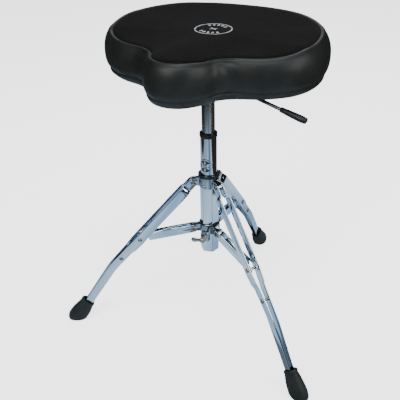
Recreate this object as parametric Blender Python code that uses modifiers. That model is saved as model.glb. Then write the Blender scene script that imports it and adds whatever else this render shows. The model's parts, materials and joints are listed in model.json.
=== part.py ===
"""Drum throne: saddle seat on a gas spring, over a folding tripod with three double-plate legs.

World frame: metres, +Z up, the floor at z = 0 and the object's middle over the origin.
Every piece hangs from an empty on the axis that it turns about or slides along.
"""
import math

import bmesh
import bpy
from mathutils import Matrix, Vector

# ---------------------------------------------------------------- driving dimensions
COLUMN_X = 0.0536            # the column's axis in the world frame
COLUMN_Y = -0.0075
GAP = 0.0003                 # air left between neighbouring pieces

LEG_COUNT = 3
LEG_AZIMUTH = 62.6           # degrees from +X to the first leg
HEX_TURN = -74.0             # azimuth of one corner of the hexagonal tube
FRONT_AZIMUTH = -117.4       # middle of the gap between two legs: badge and wing bolt

HEX_FLATS = 0.0366           # hexagonal tube, across flats
HEX_WALL = 0.0020
HEX_CORNER = 0.0025
HEX_BOTTOM = 0.1900
HEX_TOP = 0.3685

TUBE_RADIUS = 0.01775        # round tube above the hub
TUBE_WALL = 0.0020
TUBE_BOTTOM = 0.3695
TUBE_TOP = 0.4745

HUB_RADIUS = 0.0230
HUB_BOTTOM = 0.3560
HUB_TOP = 0.3845
COLLAR_RADIUS = 0.0230
COLLAR_BOTTOM = 0.2400
COLLAR_TOP = 0.2620

HUB_PIVOT = (0.0360, 0.3670)       # (distance from the column's axis, height) in a leg's plane
COLLAR_PIVOT = (0.0370, 0.2485)
STRUT_PIVOT = (0.1596, 0.2280)
LEG_KINK = (0.2287, 0.1500)
ANKLE = (0.2903, 0.0560)
FOOT_REACH = 0.0420                # how far the plates go down into the foot
BOOT_LEAN = 5.0                    # degrees that a foot leans out past its leg
BOOT_START = 0.0085                # from the ankle down to the foot's lip
BOOT_STEPS = 24
PLATE = 0.0026                     # thickness of a leg plate
LEG_END_HALF = 0.0096              # half depth of a plate inside the foot
LEG_END_SIDE = 0.0046              # its mid-plane off the leg's plane
EAR_HALF = 0.0047                  # half thickness of a hub ear
COLLAR_EAR_HALF = 0.0062
PIN_RADIUS = 0.0030
STRUT_HALF_DEPTH = 0.0090
STRUT_WALL = 0.0018

GAS_RADIUS = 0.0140
GAS_BORE = 0.0120
GAS_BOTTOM = 0.3300
GAS_TOP = 0.5780
ROD_RADIUS = 0.0050
PISTON_RISE = 0.0500         # piston above the cylinder's lower end
BASE_PLATE_BOTTOM = 0.1960

SEAT_YAW = -25.0             # turn of the seat's nose away from -Y
SEAT_SHIFT = (0.0045, 0.0020)    # cushion's middle off the column's axis, in the cushion's frame
LIP_Z = 0.6010               # underside of the cover
BOARD_Z = 0.6028
BOARD_THICK = 0.0120
COVER = 0.0015               # thickness of the cover cloth
BULGE = 0.0150               # how far the side swells past the lip
SEAM_INSET = 0.0060
EMBLEM_BACK = 0.0310         # emblem's middle behind the column's axis
EMBLEM_RADIUS = 0.0380
EMBLEM_Z = 0.6850

LEVER_TURN = -11.5           # lever's direction, degrees from the seat's side axis
LEVER_Z = 0.5870
LEVER_PIVOT = 0.0300         # from the column's axis to the lever's pin
LEVER_BEND = 0.0896
LEVER_SLOPE = math.radians(11.7)
LEVER_RADIUS = 0.0035
LEVER_PIN = 0.0025           # radius of the lever's pin
LEVER_BOX_HALF = 0.0235      # the bracket's two walls beside the lever
HANDLE_START = 0.1660
HANDLE_LENGTH = 0.0560

# Half of the seat's lip, from the nose round to the back: (side, forward).
SEAT_HALF = (
    (0.000, 0.168), (0.028, 0.160), (0.052, 0.135), (0.068, 0.106), (0.095, 0.086),
    (0.145, 0.068), (0.190, 0.034), (0.213, -0.018), (0.213, -0.080), (0.188, -0.143),
    (0.137, -0.193), (0.070, -0.218), (0.000, -0.224),
)
# Height of the rim along the seat: (forward, height).
RIM = ((-0.224, 0.6940), (-0.100, 0.6890), (0.000, 0.6830), (0.070, 0.6755), (0.110, 0.6765),
       (0.168, 0.6810))
# Side of the cushion: (outward from the lip as a share of the bulge, share of the height to the rim).
SIDE = ((-1.60, 0.000), (-0.20, 0.000), (0.30, 0.035), (0.80, 0.190), (1.00, 0.420), (0.97, 0.640),
        (0.75, 0.830), (0.35, 0.955))

# Foot, from its lip down: (distance, half width in the leg's plane, half width across it).
BOOT = ((0.0000, 0.0136, 0.0074), (0.0018, 0.0148, 0.0086), (0.0065, 0.0150, 0.0090),
        (0.0140, 0.0168, 0.0112), (0.0260, 0.0196, 0.0148), (0.0400, 0.0212, 0.0172),
        (0.0530, 0.0212, 0.0172), (0.0650, 0.0184, 0.0150), (0.0730, 0.0105, 0.0085))
# Stations down a leg plate, measured from the hub pivot along the leg: (distance, half depth,
# distance of the mid-plane from the leg's plane, shift towards the outer side).
UPPER_LEG = ((0.0190, 0.0100, 0.0063, 0.0), (0.0270, 0.0104, 0.0120, 0.0),
             (0.1400, 0.0104, 0.0120, 0.0), (0.1900, 0.0112, 0.0120, -0.0008),
             (0.2130, 0.0112, 0.0104, -0.0008), (0.2310, 0.0099, 0.0076, 0.0),
             (0.2560, 0.0097, 0.0070, 0.0))
LOWER_RIVET = 0.2567               # from the hub pivot along the leg

CHROME = ((0.78, 0.80, 0.84), 0.08, 1.0)
DARK_STEEL = ((0.20, 0.21, 0.22), 0.30, 1.0)
ZINC = ((0.55, 0.55, 0.53), 0.35, 1.0)
BRASS_GREY = ((0.50, 0.46, 0.38), 0.35, 1.0)
BLACK_PLASTIC = ((0.03, 0.03, 0.03), 0.50, 0.0)
RUBBER = ((0.025, 0.028, 0.028), 0.75, 0.0)
PLYWOOD = ((0.62, 0.46, 0.28), 0.70, 0.0)
FOAM = ((0.75, 0.70, 0.55), 0.95, 0.0)
VINYL = ((0.035, 0.040, 0.040), 0.45, 0.0)
VELOUR = ((0.020, 0.018, 0.017), 0.95, 0.0)
THREAD = ((0.80, 0.80, 0.78), 0.70, 0.0)
BLACK_CLOTH = ((0.02, 0.02, 0.02), 0.95, 0.0)


# ---------------------------------------------------------------- scene set-up
def clear_scene():
    """Remove what the scene holds, so that the script can be run again."""
    for obj in list(bpy.data.objects):
        bpy.data.objects.remove(obj, do_unlink=True)


def new_collection(name):
    """Make a collection in the scene."""
    collection = bpy.data.collections.new(name)
    bpy.context.scene.collection.children.link(collection)
    return collection


clear_scene()
PARTS = new_collection("drum_throne")
TOOLS = new_collection("cutters")


def make_material(name, finish):
    """Make a Principled material from (colour, roughness, metallic)."""
    colour, roughness, metallic = finish
    material = bpy.data.materials.new(name)
    material.use_nodes = True
    shader = material.node_tree.nodes["Principled BSDF"]
    shader.inputs["Base Color"].default_value = (*colour, 1.0)
    shader.inputs["Roughness"].default_value = roughness
    shader.inputs["Metallic"].default_value = metallic
    material.diffuse_color = (*colour, 1.0)
    return material


def pivot(name, location=(0, 0, 0), turn=0.0, parent=None):
    """Make an empty on a joint's axis, turned about Z by a number of degrees."""
    empty = bpy.data.objects.new(name, None)
    empty.empty_display_size = 0.02
    empty.location = location
    empty.rotation_euler.z = math.radians(turn)
    empty.parent = parent
    PARTS.objects.link(empty)
    return empty


def tool(name, data):
    """Make a working object that is not a part: a cutter, or a shape still to be joined."""
    obj = bpy.data.objects.new(name, data)
    obj.hide_render = True
    obj.display_type = "WIRE"
    TOOLS.objects.link(obj)
    return obj


def evaluated_mesh(obj, weld=0.00001):
    """Return a mesh of the object with its modifiers and its own placement applied."""
    graph = bpy.context.evaluated_depsgraph_get()
    graph.update()
    mesh = bpy.data.meshes.new_from_object(obj.evaluated_get(graph))
    mesh.transform(obj.matrix_world)
    form = bmesh.new()
    form.from_mesh(mesh)
    bmesh.ops.remove_doubles(form, verts=form.verts, dist=weld)
    form.to_mesh(mesh)
    form.free()
    return mesh


def combine(base, add=(), cut=(), common=()):
    """Join, cut and intersect working objects with Boolean modifiers, and return one mesh."""
    for others, operation in ((add, "UNION"), (common, "INTERSECT"), (cut, "DIFFERENCE")):
        for other in others:
            boolean = base.modifiers.new(operation.lower(), "BOOLEAN")
            boolean.operation = operation
            boolean.solver = "EXACT"
            boolean.object = other
    mesh = evaluated_mesh(base)
    for obj in (base, *add, *cut, *common):
        bpy.data.objects.remove(obj, do_unlink=True)
    return mesh


def part(name, mesh, finish, parent, location=(0, 0, 0), rotation=(0, 0, 0), sharp=35.0):
    """Put a mesh in the assembly as a named part under its empty."""
    obj = bpy.data.objects.new(name, mesh)
    if not mesh.materials:
        mesh.materials.append(make_material(name, finish))
    mesh.shade_smooth()
    mesh.set_sharp_from_angle(angle=math.radians(sharp))
    obj.location = location
    obj.rotation_euler = rotation
    obj.parent = parent
    PARTS.objects.link(obj)
    return obj


# ---------------------------------------------------------------- shape helpers
def turned(name, profile, ring=False, steps=24):
    """Turn an (x, z) profile about Z. It runs down the outer side; a ring's profile is a closed loop."""
    mesh = bpy.data.meshes.new(name)
    points = [(x, 0.0, z) for x, z in profile]
    edges = [(i, i + 1) for i in range(len(points) - 1)]
    if ring:
        edges.append((len(points) - 1, 0))
    mesh.from_pydata(points, edges, [])
    obj = tool(name, mesh)
    screw = obj.modifiers.new("turn", "SCREW")
    screw.steps = steps
    screw.render_steps = steps
    screw.use_merge_vertices = True
    screw.merge_threshold = 0.00001
    screw.use_smooth_shade = True
    return obj


def ring_profile(inner, outer, bottom, top):
    """Closed rectangular profile of a ring, down its outer side and back up its bore."""
    return ((outer, top), (outer, bottom), (inner, bottom), (inner, top))


def arc(centre, radius, start, end, count):
    """Points along an arc, from start to end in degrees."""
    points = []
    for i in range(count + 1):
        angle = math.radians(start + (end - start) * i / count)
        points.append((centre[0] + radius * math.cos(angle), centre[1] + radius * math.sin(angle)))
    return points


def flat(name, outlines, thickness):
    """Make a flat piece from an outline and its holes, as a filled 2D curve in XY, centred on z = 0."""
    curve = bpy.data.curves.new(name, "CURVE")
    curve.dimensions = "2D"
    curve.fill_mode = "BOTH"
    curve.extrude = thickness / 2
    for outline in outlines:
        spline = curve.splines.new("POLY")
        spline.points.add(len(outline) - 1)
        for point, (x, y) in zip(spline.points, outline):
            point.co = (x, y, 0.0, 1.0)
        spline.use_cyclic_u = True
    obj = tool(name, curve)
    mesh = evaluated_mesh(obj)
    bpy.data.objects.remove(obj, do_unlink=True)
    return tool(name, mesh)


def placed(obj, location=(0, 0, 0), rotation=(0, 0, 0)):
    """Move and turn a working object, bake its place into its mesh and return it."""
    matrix = Matrix.LocRotScale(Vector(location), None, None)
    for axis, degrees in zip("XYZ", rotation):
        matrix = matrix @ Matrix.Rotation(math.radians(degrees), 4, axis)
    mesh = evaluated_mesh(obj)
    mesh.transform(matrix)
    bpy.data.objects.remove(obj, do_unlink=True)
    return tool("placed", mesh)


def upright(name, outlines, thickness, side=0.0):
    """Make a flat piece that stands in the XZ plane, its middle at y = side."""
    return placed(flat(name, outlines, thickness), (0, side, 0), (90, 0, 0))


def box(name, low, high):
    """Make a box from its low and high corners."""
    form = bmesh.new()
    bmesh.ops.create_cube(form, size=1.0)
    for vert in form.verts:
        vert.co = [lo + (hi - lo) * (c + 0.5) for lo, hi, c in zip(low, high, vert.co)]
    mesh = bpy.data.meshes.new(name)
    form.to_mesh(mesh)
    form.free()
    return tool(name, mesh)


def rod(name, radius, start, end, steps=16):
    """Make a plain round bar between two points."""
    first = Vector(start)
    run = Vector(end) - first
    form = bmesh.new()
    bmesh.ops.create_cone(form, cap_ends=True, segments=steps, radius1=radius, radius2=radius,
                          depth=run.length)
    turn = run.to_track_quat("Z", "Y").to_matrix().to_4x4()
    bmesh.ops.transform(form, matrix=Matrix.Translation(first + run / 2) @ turn, verts=form.verts)
    mesh = bpy.data.meshes.new(name)
    form.to_mesh(mesh)
    form.free()
    return tool(name, mesh)


def hexagon(flats, turn, corner=0.0, count=2):
    """Points of a hexagon with one corner at the azimuth turn, and round corners if corner is given."""
    points = []
    reach = (flats / 2 - corner) / math.cos(math.radians(30))
    for k in range(6):
        azimuth = turn + 60 * k
        centre = (reach * math.cos(math.radians(azimuth)), reach * math.sin(math.radians(azimuth)))
        if corner:
            points += arc(centre, corner, azimuth - 30, azimuth + 30, count)
        else:
            points.append(centre)
    return points


def headed_pin(name, half_length, radius, head_radius, head):
    """Make a pin along Y with a domed head at each end, its middle at the origin."""
    half = [
        (0.0, half_length + head),
        (head_radius * 0.55, half_length + head * 0.85),
        (head_radius, half_length + head * 0.25),
        (head_radius, half_length),
        (radius, half_length),
    ]
    profile = half + [(x, -z) for x, z in reversed(half)]
    return placed(turned(name, profile, steps=12), rotation=(90, 0, 0))


def hex_prism(name, flats, bottom, top):
    """Make a hexagonal prism that matches the tube's turn."""
    return placed(flat(name, [hexagon(flats, HEX_TURN)], top - bottom), (0, 0, (bottom + top) / 2))


def leg_azimuths():
    """Azimuth of each leg in degrees."""
    return [LEG_AZIMUTH + 360.0 / LEG_COUNT * k for k in range(LEG_COUNT)]


def gap_azimuths():
    """Azimuth of the middle of each gap between two legs."""
    return [FRONT_AZIMUTH + 360.0 / LEG_COUNT * k for k in range(LEG_COUNT)]


# ---------------------------------------------------------------- column
def ear_outline(centre, root, low, high, radius):
    """Outline of an ear in a leg's plane, round about its pin and square at its root."""
    x, z = centre
    return [(root, low), (x, low)] + arc(centre, radius, -80, 40, 5) + [(x, high - 0.002), (root, high)]


def hub_mesh():
    """Cast hub: round body, three ears, a round bore above and a hexagonal one below."""
    edge = 0.0020
    bore = TUBE_RADIUS + GAP
    body = turned("hub_body", ((HUB_RADIUS - edge, HUB_TOP), (HUB_RADIUS, HUB_TOP - edge),
                               (HUB_RADIUS, HUB_BOTTOM + edge), (HUB_RADIUS - edge, HUB_BOTTOM),
                               (bore, HUB_BOTTOM), (bore, HUB_TOP)), ring=True, steps=36)
    low = HUB_PIVOT[1] - 0.0085
    outline = ear_outline(HUB_PIVOT, HUB_RADIUS - 0.0030, low, HUB_TOP - 0.0050, 0.0085)
    hole = arc(HUB_PIVOT, PIN_RADIUS + GAP, 0, 337.5, 15)
    ears = [placed(upright("ear", [outline, hole], 2 * EAR_HALF), rotation=(0, 0, azimuth))
            for azimuth in leg_azimuths()]
    socket = hex_prism("hex_socket", HEX_FLATS + 2 * GAP, HUB_BOTTOM - 0.002, HEX_TOP + 0.0005)
    height = HUB_BOTTOM + 0.0065
    holes = [placed(rod("screw_hole", 0.0033, (0.015, 0, height), (0.030, 0, height)),
                    rotation=(0, 0, azimuth)) for azimuth in gap_azimuths()]
    return combine(body, add=ears, cut=[socket, *holes])


def hub_screw_mesh():
    """Domed cap screw that clamps the hub on the hexagonal tube, along +X."""
    height = HUB_BOTTOM + 0.0065
    tip = HEX_FLATS / 2 + 0.0019
    seat = HUB_RADIUS + GAP
    profile = ((0.0, seat + 0.0034), (0.0026, seat + 0.0032), (0.0042, seat + 0.0018), (0.0042, seat),
               (0.0030, seat), (0.0030, tip), (0.0, tip))
    return evaluated_mesh(placed(turned("screw", profile, steps=16), (0, 0, height), (0, 90, 0)))


def bushing_mesh():
    """Plastic guide in the top of the round tube: a flange over its end and a sleeve inside it."""
    bore = GAS_RADIUS + GAP
    sleeve = TUBE_RADIUS - TUBE_WALL - GAP
    flange = 0.0190
    bottom = TUBE_TOP + GAP
    profile = ((flange - 0.0015, bottom + 0.0092), (flange, bottom + 0.0077), (flange, bottom),
               (sleeve, bottom), (sleeve, bottom - 0.0440), (bore, bottom - 0.0440),
               (bore, bottom + 0.0092))
    return evaluated_mesh(turned("bushing", profile, ring=True, steps=32))


def badge_mesh():
    """Round badge wrapped on the tube, facing +X."""
    inner = TUBE_RADIUS + GAP
    shell = turned("badge_shell", ring_profile(inner, inner + 0.0013, 0.390, 0.432), ring=True, steps=64)
    disc = rod("badge_disc", 0.0165, (0.004, 0, 0.411), (0.030, 0, 0.411), steps=32)
    return combine(shell, common=[disc])


def build_column(axis):
    """Tubes, hub, bushing and the parts that carry the gas spring."""
    outer = hexagon(HEX_FLATS, HEX_TURN, HEX_CORNER)
    inner = hexagon(HEX_FLATS - 2 * HEX_WALL, HEX_TURN)
    tube = flat("hex_tube", [outer, inner], HEX_TOP - HEX_BOTTOM)
    part("hex_tube", combine(placed(tube, (0, 0, (HEX_TOP + HEX_BOTTOM) / 2))), CHROME, axis)
    wall = ring_profile(TUBE_RADIUS - TUBE_WALL, TUBE_RADIUS, TUBE_BOTTOM, TUBE_TOP)
    part("round_tube", combine(turned("round_tube", wall, ring=True, steps=36)), CHROME, axis)
    part("hub", hub_mesh(), CHROME, axis)
    part("tube_bushing", bushing_mesh(), BLACK_PLASTIC, axis)
    part("column_badge", badge_mesh(), ZINC, axis, rotation=(0, 0, math.radians(FRONT_AZIMUTH)))
    screw = hub_screw_mesh()
    for k, azimuth in enumerate(gap_azimuths()):
        part(f"hub_screw_{k + 1}", screw, ZINC, axis, rotation=(0, 0, math.radians(azimuth)))
    hole = arc((0, 0), 0.0044, 0, 337.5, 15)
    plate = flat("base_plate", [hexagon(HEX_FLATS - 2 * HEX_WALL - 2 * GAP, HEX_TURN), hole], 0.0040)
    part("base_plate", combine(placed(plate, (0, 0, BASE_PLATE_BOTTOM + 0.0020))), DARK_STEEL, axis)
    bottom = BASE_PLATE_BOTTOM + 0.0040 + GAP
    race = ring_profile(0.0044, 0.0120, bottom, bottom + 0.0060)
    part("thrust_bearing", combine(turned("thrust_bearing", race, ring=True)), ZINC, axis)


# ---------------------------------------------------------------- legs
def leg_stations():
    """Stations down a leg plate: (middle, direction across, half depth, place of the mid-plane)."""
    start = Vector(HUB_PIVOT)
    kink = Vector(LEG_KINK)
    upper = (kink - start).normalized()
    lower = (Vector(ANKLE) - kink).normalized()
    run = (kink - start).length
    ankle = run + (Vector(ANKLE) - kink).length
    near = EAR_HALF + GAP + PLATE / 2
    end = 0.0100
    rows = [(-end * math.cos(a), end * math.sin(a) + 0.0004, near, 0.0)
            for a in (0.0, math.radians(30), math.radians(60), math.radians(90))]
    rows += [*UPPER_LEG, (run - 0.012, 0.0097, 0.0066, 0.0), (run + 0.012, 0.0097, 0.0062, 0.0),
             (ankle, LEG_END_HALF, LEG_END_SIDE, 0.0), (ankle + FOOT_REACH, LEG_END_HALF, LEG_END_SIDE, 0.0)]
    stations = []
    for along, half, side, rise in rows:
        direction = upper if along <= run else lower
        across = Vector((-direction.y, direction.x))
        middle = start + upper * along if along <= run else kink + lower * (along - run)
        stations.append((middle + across * rise, across, half, side))
    return stations


def leg_plate_mesh(sign):
    """One of the two bent plates of a leg, in the leg's plane, with its origin at the hub pivot."""
    form = bmesh.new()
    rows = []
    for middle, across, half, side in leg_stations():
        row = []
        for share in (1.0, 0.0, -1.0):
            place = middle + across * (half * share)
            row.append(form.verts.new((place.x, side * sign, place.y)))
        rows.append(row)
    for first, second in zip(rows, rows[1:]):
        for j in range(2):
            form.faces.new((first[j], first[j + 1], second[j + 1], second[j]))
    bmesh.ops.recalc_face_normals(form, faces=form.faces)
    mesh = bpy.data.meshes.new("leg_plate")
    form.to_mesh(mesh)
    form.free()
    obj = tool("leg_plate", mesh)
    solid = obj.modifiers.new("thickness", "SOLIDIFY")
    solid.thickness = PLATE
    solid.offset = 0.0
    holes = []
    for (x, z), radius in ((HUB_PIVOT, PIN_RADIUS), (STRUT_PIVOT, PIN_RADIUS), (lower_rivet(), 0.0025)):
        y = 0.012 * sign
        holes.append(rod("hole", radius + GAP, (x, y - 0.012, z), (x, y + 0.012, z)))
    mesh = combine(obj, cut=holes)
    mesh.transform(Matrix.Translation((-HUB_PIVOT[0], 0, -HUB_PIVOT[1])))
    return mesh


def lower_rivet():
    """Place of the rivet below the strut, on the leg's middle line."""
    start = Vector(HUB_PIVOT)
    direction = (Vector(LEG_KINK) - start).normalized()
    return tuple(start + direction * LOWER_RIVET)


def foot_mesh():
    """Rubber boot on the ends of the plates, flat on the floor, with its origin at the hub pivot."""
    rings = []
    for down, half, side in BOOT:
        turns = [2 * math.pi * k / BOOT_STEPS for k in range(BOOT_STEPS)]
        rings.append([(half * math.cos(a), side * math.sin(a), -down) for a in turns])
    boot = lofted("boot", rings[::-1], True, True)
    direction = (Vector(ANKLE) - Vector(LEG_KINK)).normalized()
    tilt = math.degrees(math.atan2(direction.x, -direction.y))
    top = Vector(ANKLE) + direction * BOOT_START
    boot = placed(boot, (top.x, 0, top.y), (0, -tilt - BOOT_LEAN, 0))
    floor = box("below_floor", (0.2, -0.1, -0.1), (0.5, 0.1, 0.0))
    cuts = [floor]
    for sign in (-1, 1):
        half = LEG_END_HALF + GAP
        side = LEG_END_SIDE * sign
        thick = PLATE / 2 + GAP
        slot = box("slot", (-half, side - thick, -FOOT_REACH - 0.0045), (half, side + thick, 0.02))
        cuts.append(placed(slot, (ANKLE[0], 0, ANKLE[1]), (0, -tilt, 0)))
    mesh = combine(boot, cut=cuts)
    mesh.transform(Matrix.Translation((-HUB_PIVOT[0], 0, -HUB_PIVOT[1])))
    return mesh


def build_legs(axis):
    """Three legs: two plates, a foot, the pin at the hub, the pin at the strut and a lower rivet."""
    plates = {side: leg_plate_mesh(sign) for side, sign in (("left", 1), ("right", -1))}
    foot = foot_mesh()
    hub_pin = evaluated_mesh(headed_pin("hub_pin", EAR_HALF + PLATE + 2 * GAP, PIN_RADIUS, 0.0048, 0.0022))
    strut_half = UPPER_LEG[-4][2] + PLATE / 2 + GAP
    strut_pin = evaluated_mesh(headed_pin("strut_pin", strut_half, PIN_RADIUS, 0.0048, 0.0022))
    rivet = evaluated_mesh(headed_pin("rivet", 0.0070 + PLATE / 2 + 2 * GAP, 0.0025, 0.0042, 0.0018))
    lower = lower_rivet()
    for k, azimuth in enumerate(leg_azimuths()):
        angle = math.radians(azimuth)
        place = (HUB_PIVOT[0] * math.cos(angle), HUB_PIVOT[0] * math.sin(angle), HUB_PIVOT[1])
        leg = pivot(f"leg_{k + 1}_axis", place, azimuth, axis)
        for side, mesh in plates.items():
            part(f"leg_{k + 1}_plate_{side}", mesh, CHROME, leg)
        part(f"foot_{k + 1}", foot, RUBBER, leg)
        part(f"leg_{k + 1}_hub_pin", hub_pin, ZINC, leg)
        part(f"leg_{k + 1}_strut_pin", strut_pin, ZINC, leg,
             (STRUT_PIVOT[0] - HUB_PIVOT[0], 0, STRUT_PIVOT[1] - HUB_PIVOT[1]))
        part(f"leg_{k + 1}_rivet", rivet, ZINC, leg, (lower[0] - HUB_PIVOT[0], 0, lower[1] - HUB_PIVOT[1]))


# ---------------------------------------------------------------- collar and struts
def collar_mesh():
    """Sliding collar: a ring with a hexagonal bore, three ears and a boss for the wing bolt."""
    edge = 0.0015
    bore = HEX_FLATS / 2 - 0.001
    body = turned("collar_body", ((COLLAR_RADIUS - edge, COLLAR_TOP), (COLLAR_RADIUS, COLLAR_TOP - edge),
                                  (COLLAR_RADIUS, COLLAR_BOTTOM + edge),
                                  (COLLAR_RADIUS - edge, COLLAR_BOTTOM),
                                  (bore, COLLAR_BOTTOM), (bore, COLLAR_TOP)), ring=True, steps=36)
    outline = ear_outline(COLLAR_PIVOT, COLLAR_RADIUS - 0.0025, COLLAR_PIVOT[1] - 0.0070,
                          COLLAR_PIVOT[1] + 0.0110, 0.0070)
    hole = arc(COLLAR_PIVOT, PIN_RADIUS + GAP, 0, 337.5, 15)
    ears = [placed(upright("ear", [outline, hole], 2 * COLLAR_EAR_HALF), rotation=(0, 0, azimuth))
            for azimuth in leg_azimuths()]
    boss = placed(box("boss", (0.0150, -0.0090, wing_height() - 0.0090),
                      (0.0285, 0.0090, wing_height() + 0.0120)), rotation=(0, 0, FRONT_AZIMUTH))
    socket = hex_prism("hex_bore", HEX_FLATS + 2 * GAP, 0.18, 0.28)
    thread = placed(rod("thread", 0.0033, (0.010, 0, wing_height()), (0.035, 0, wing_height())),
                    rotation=(0, 0, FRONT_AZIMUTH))
    return combine(body, add=[*ears, boss], cut=[socket, thread])


def wing_height():
    """Height of the wing bolt's axis."""
    return COLLAR_BOTTOM - 0.0060


def wing_mesh():
    """Wing bolt along +X: a shank, a round head and two wings, with its origin on its axis."""
    tip = HEX_FLATS / 2 + 0.0019
    body = placed(turned("wing_body", ((0.0, 0.0450), (0.0045, 0.0445), (0.0062, 0.0420), (0.0070, 0.0310),
                                       (0.0030, 0.0310), (0.0030, tip), (0.0, tip)), steps=16),
                  rotation=(0, 90, 0))
    outline = [(0.0, -0.0050)] + arc((0.0215, 0.0), 0.0060, -80, 80, 6) + [(0.0, 0.0050)]
    wings = [stand_up(placed(flat("wing", [outline], 0.0042), rotation=(0, 0, turn)), 0.0395)
             for turn in (192.0, 52.0)]
    return combine(body, add=wings)


def stand_up(wing, reach):
    """Turn a wing drawn in XY into the plane across the bolt, at a distance along it."""
    mesh = evaluated_mesh(wing)
    bpy.data.objects.remove(wing, do_unlink=True)
    mesh.transform(Matrix(((0, 0, 1, reach), (1, 0, 0, 0), (0, 1, 0, 0), (0, 0, 0, 1))))
    return tool("wing", mesh)


def strut_length():
    """Length of a strut between its two pivots."""
    return (Vector(STRUT_PIVOT) - Vector(COLLAR_PIVOT)).length


def hook_outline(length, mouth):
    """Side of a strut: round at the collar, and a hook over the leg's pin with its mouth below."""
    half = STRUT_HALF_DEPTH
    grip = 0.0042
    outline = [(0, -half), (mouth, -half), (mouth, grip)]
    outline += arc((length, 0), grip, 90, -75, 6)
    outline += arc((length + 0.0005, 0), half, -75, 90, 6)
    return outline + arc((0, 0), half, 90, 240, 6)


def strut_mesh():
    """Channel strut along +X from its collar pivot, open at the top and hooked over the leg's pin."""
    length = strut_length()
    half = STRUT_HALF_DEPTH
    mouth = length - 0.0200
    outline = hook_outline(length, mouth)
    hole = arc((0, 0), PIN_RADIUS + GAP, 0, 330, 11)
    side = COLLAR_EAR_HALF + GAP + STRUT_WALL / 2
    walls = [upright("wall", [outline, hole], STRUT_WALL, side * sign) for sign in (-1, 1)]
    floor = box("web", (0.0150, -side, -half + 0.0002), (mouth - 0.0002, side, -half + STRUT_WALL))
    return combine(walls[0], add=[floor, walls[1]])


def build_collar(axis):
    """The collar with its pins, the struts that hinge on it and the wing bolt."""
    slide = pivot("collar_axis", (0, 0, COLLAR_PIVOT[1]), 0, axis)
    part("collar", collar_mesh(), CHROME, slide, (0, 0, -COLLAR_PIVOT[1]))
    outer = COLLAR_EAR_HALF + STRUT_WALL + 2 * GAP
    pin = evaluated_mesh(headed_pin("collar_pin", outer, PIN_RADIUS, 0.0046, 0.0014))
    strut = strut_mesh()
    rise = STRUT_PIVOT[1] - COLLAR_PIVOT[1]
    dip = math.atan2(-rise, STRUT_PIVOT[0] - COLLAR_PIVOT[0])
    for k, azimuth in enumerate(leg_azimuths()):
        angle = math.radians(azimuth)
        place = (COLLAR_PIVOT[0] * math.cos(angle), COLLAR_PIVOT[0] * math.sin(angle), 0)
        hinge = pivot(f"strut_{k + 1}_axis", place, azimuth, slide)
        part(f"strut_{k + 1}", strut, CHROME, hinge, rotation=(0, dip, 0))
        part(f"collar_pin_{k + 1}", pin, ZINC, hinge)
    wing_axis = pivot("wing_bolt_axis", (0, 0, wing_height() - COLLAR_PIVOT[1]), FRONT_AZIMUTH, slide)
    part("wing_bolt", wing_mesh(), BRASS_GREY, wing_axis)


# ---------------------------------------------------------------- gas spring
def build_gas_spring(swivel, lift):
    """Gas spring: the rod and its piston stand in the column, the cylinder slides over them."""
    stud = 0.0040
    shoulder = BASE_PLATE_BOTTOM + 0.0040 + 0.0060 + 2 * GAP
    low = GAS_BOTTOM + PISTON_RISE
    top = low + 0.0140
    profile = ((0.0, top), (ROD_RADIUS, top), (ROD_RADIUS, shoulder), (stud, shoulder), (stud, 0.1910),
               (0.0, 0.1910))
    part("piston_rod", combine(turned("rod", profile)), DARK_STEEL, swivel)
    head = ring_profile(ROD_RADIUS + GAP, GAS_BORE - GAP, low, low + 0.0120)
    part("gas_piston", combine(turned("piston", head, ring=True)), BLACK_PLASTIC, swivel)
    clip = ring_profile(stud + GAP, 0.0075, BASE_PLATE_BOTTOM - GAP - 0.0016, BASE_PLATE_BOTTOM - GAP)
    part("rod_clip", combine(turned("clip", clip, ring=True)), ZINC, swivel)
    cylinder = ((GAS_RADIUS - 0.0010, GAS_TOP), (GAS_RADIUS, GAS_TOP - 0.0010), (GAS_RADIUS, GAS_BOTTOM),
                (GAS_BORE, GAS_BOTTOM), (GAS_BORE, GAS_TOP - 0.0060), (0.0043, GAS_TOP - 0.0060),
                (0.0043, GAS_TOP))
    part("gas_cylinder", combine(turned("cylinder", cylinder, ring=True, steps=32)), DARK_STEEL, lift)
    guide = ring_profile(ROD_RADIUS + GAP, GAS_BORE - GAP, GAS_BOTTOM, GAS_BOTTOM + 0.0150)
    part("rod_guide", combine(turned("guide", guide, ring=True)), BLACK_PLASTIC, lift)
    button_top = LEVER_Z - LEVER_RADIUS - 0.0005
    button = ((0.0, button_top), (0.0020, button_top), (0.0040, button_top - 0.0025),
              (0.0040, GAS_TOP - 0.0120), (0.0, GAS_TOP - 0.0120))
    part("gas_button", combine(turned("button", button, steps=16)), ZINC, lift)


# ---------------------------------------------------------------- seat shape
def smooth_loop(points, per_span):
    """Closed smooth line through the points, with a set number of points in each span."""
    count = len(points)
    loop = []
    for i in range(count):
        before, first, second, after = (Vector(points[(i + k) % count]) for k in (-1, 0, 1, 2))
        for step in range(per_span):
            t = step / per_span
            place = 2 * first + (second - before) * t
            place += (2 * before - 5 * first + 4 * second - after) * t * t
            place += (3 * first - before - 3 * second + after) * t ** 3
            loop.append(place / 2)
    return loop


def seat_loop():
    """Outline of the seat's lip, turning left, and its outward normals."""
    left = [(-x, y) for x, y in SEAT_HALF]
    loop = [point + Vector(SEAT_SHIFT) for point in smooth_loop(left + list(SEAT_HALF[-2:0:-1]), 2)]
    count = len(loop)
    normals = []
    for i in range(count):
        along = (loop[(i + 1) % count] - loop[i - 1]).normalized()
        normals.append(Vector((along.y, -along.x)))
    return loop, normals


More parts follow.
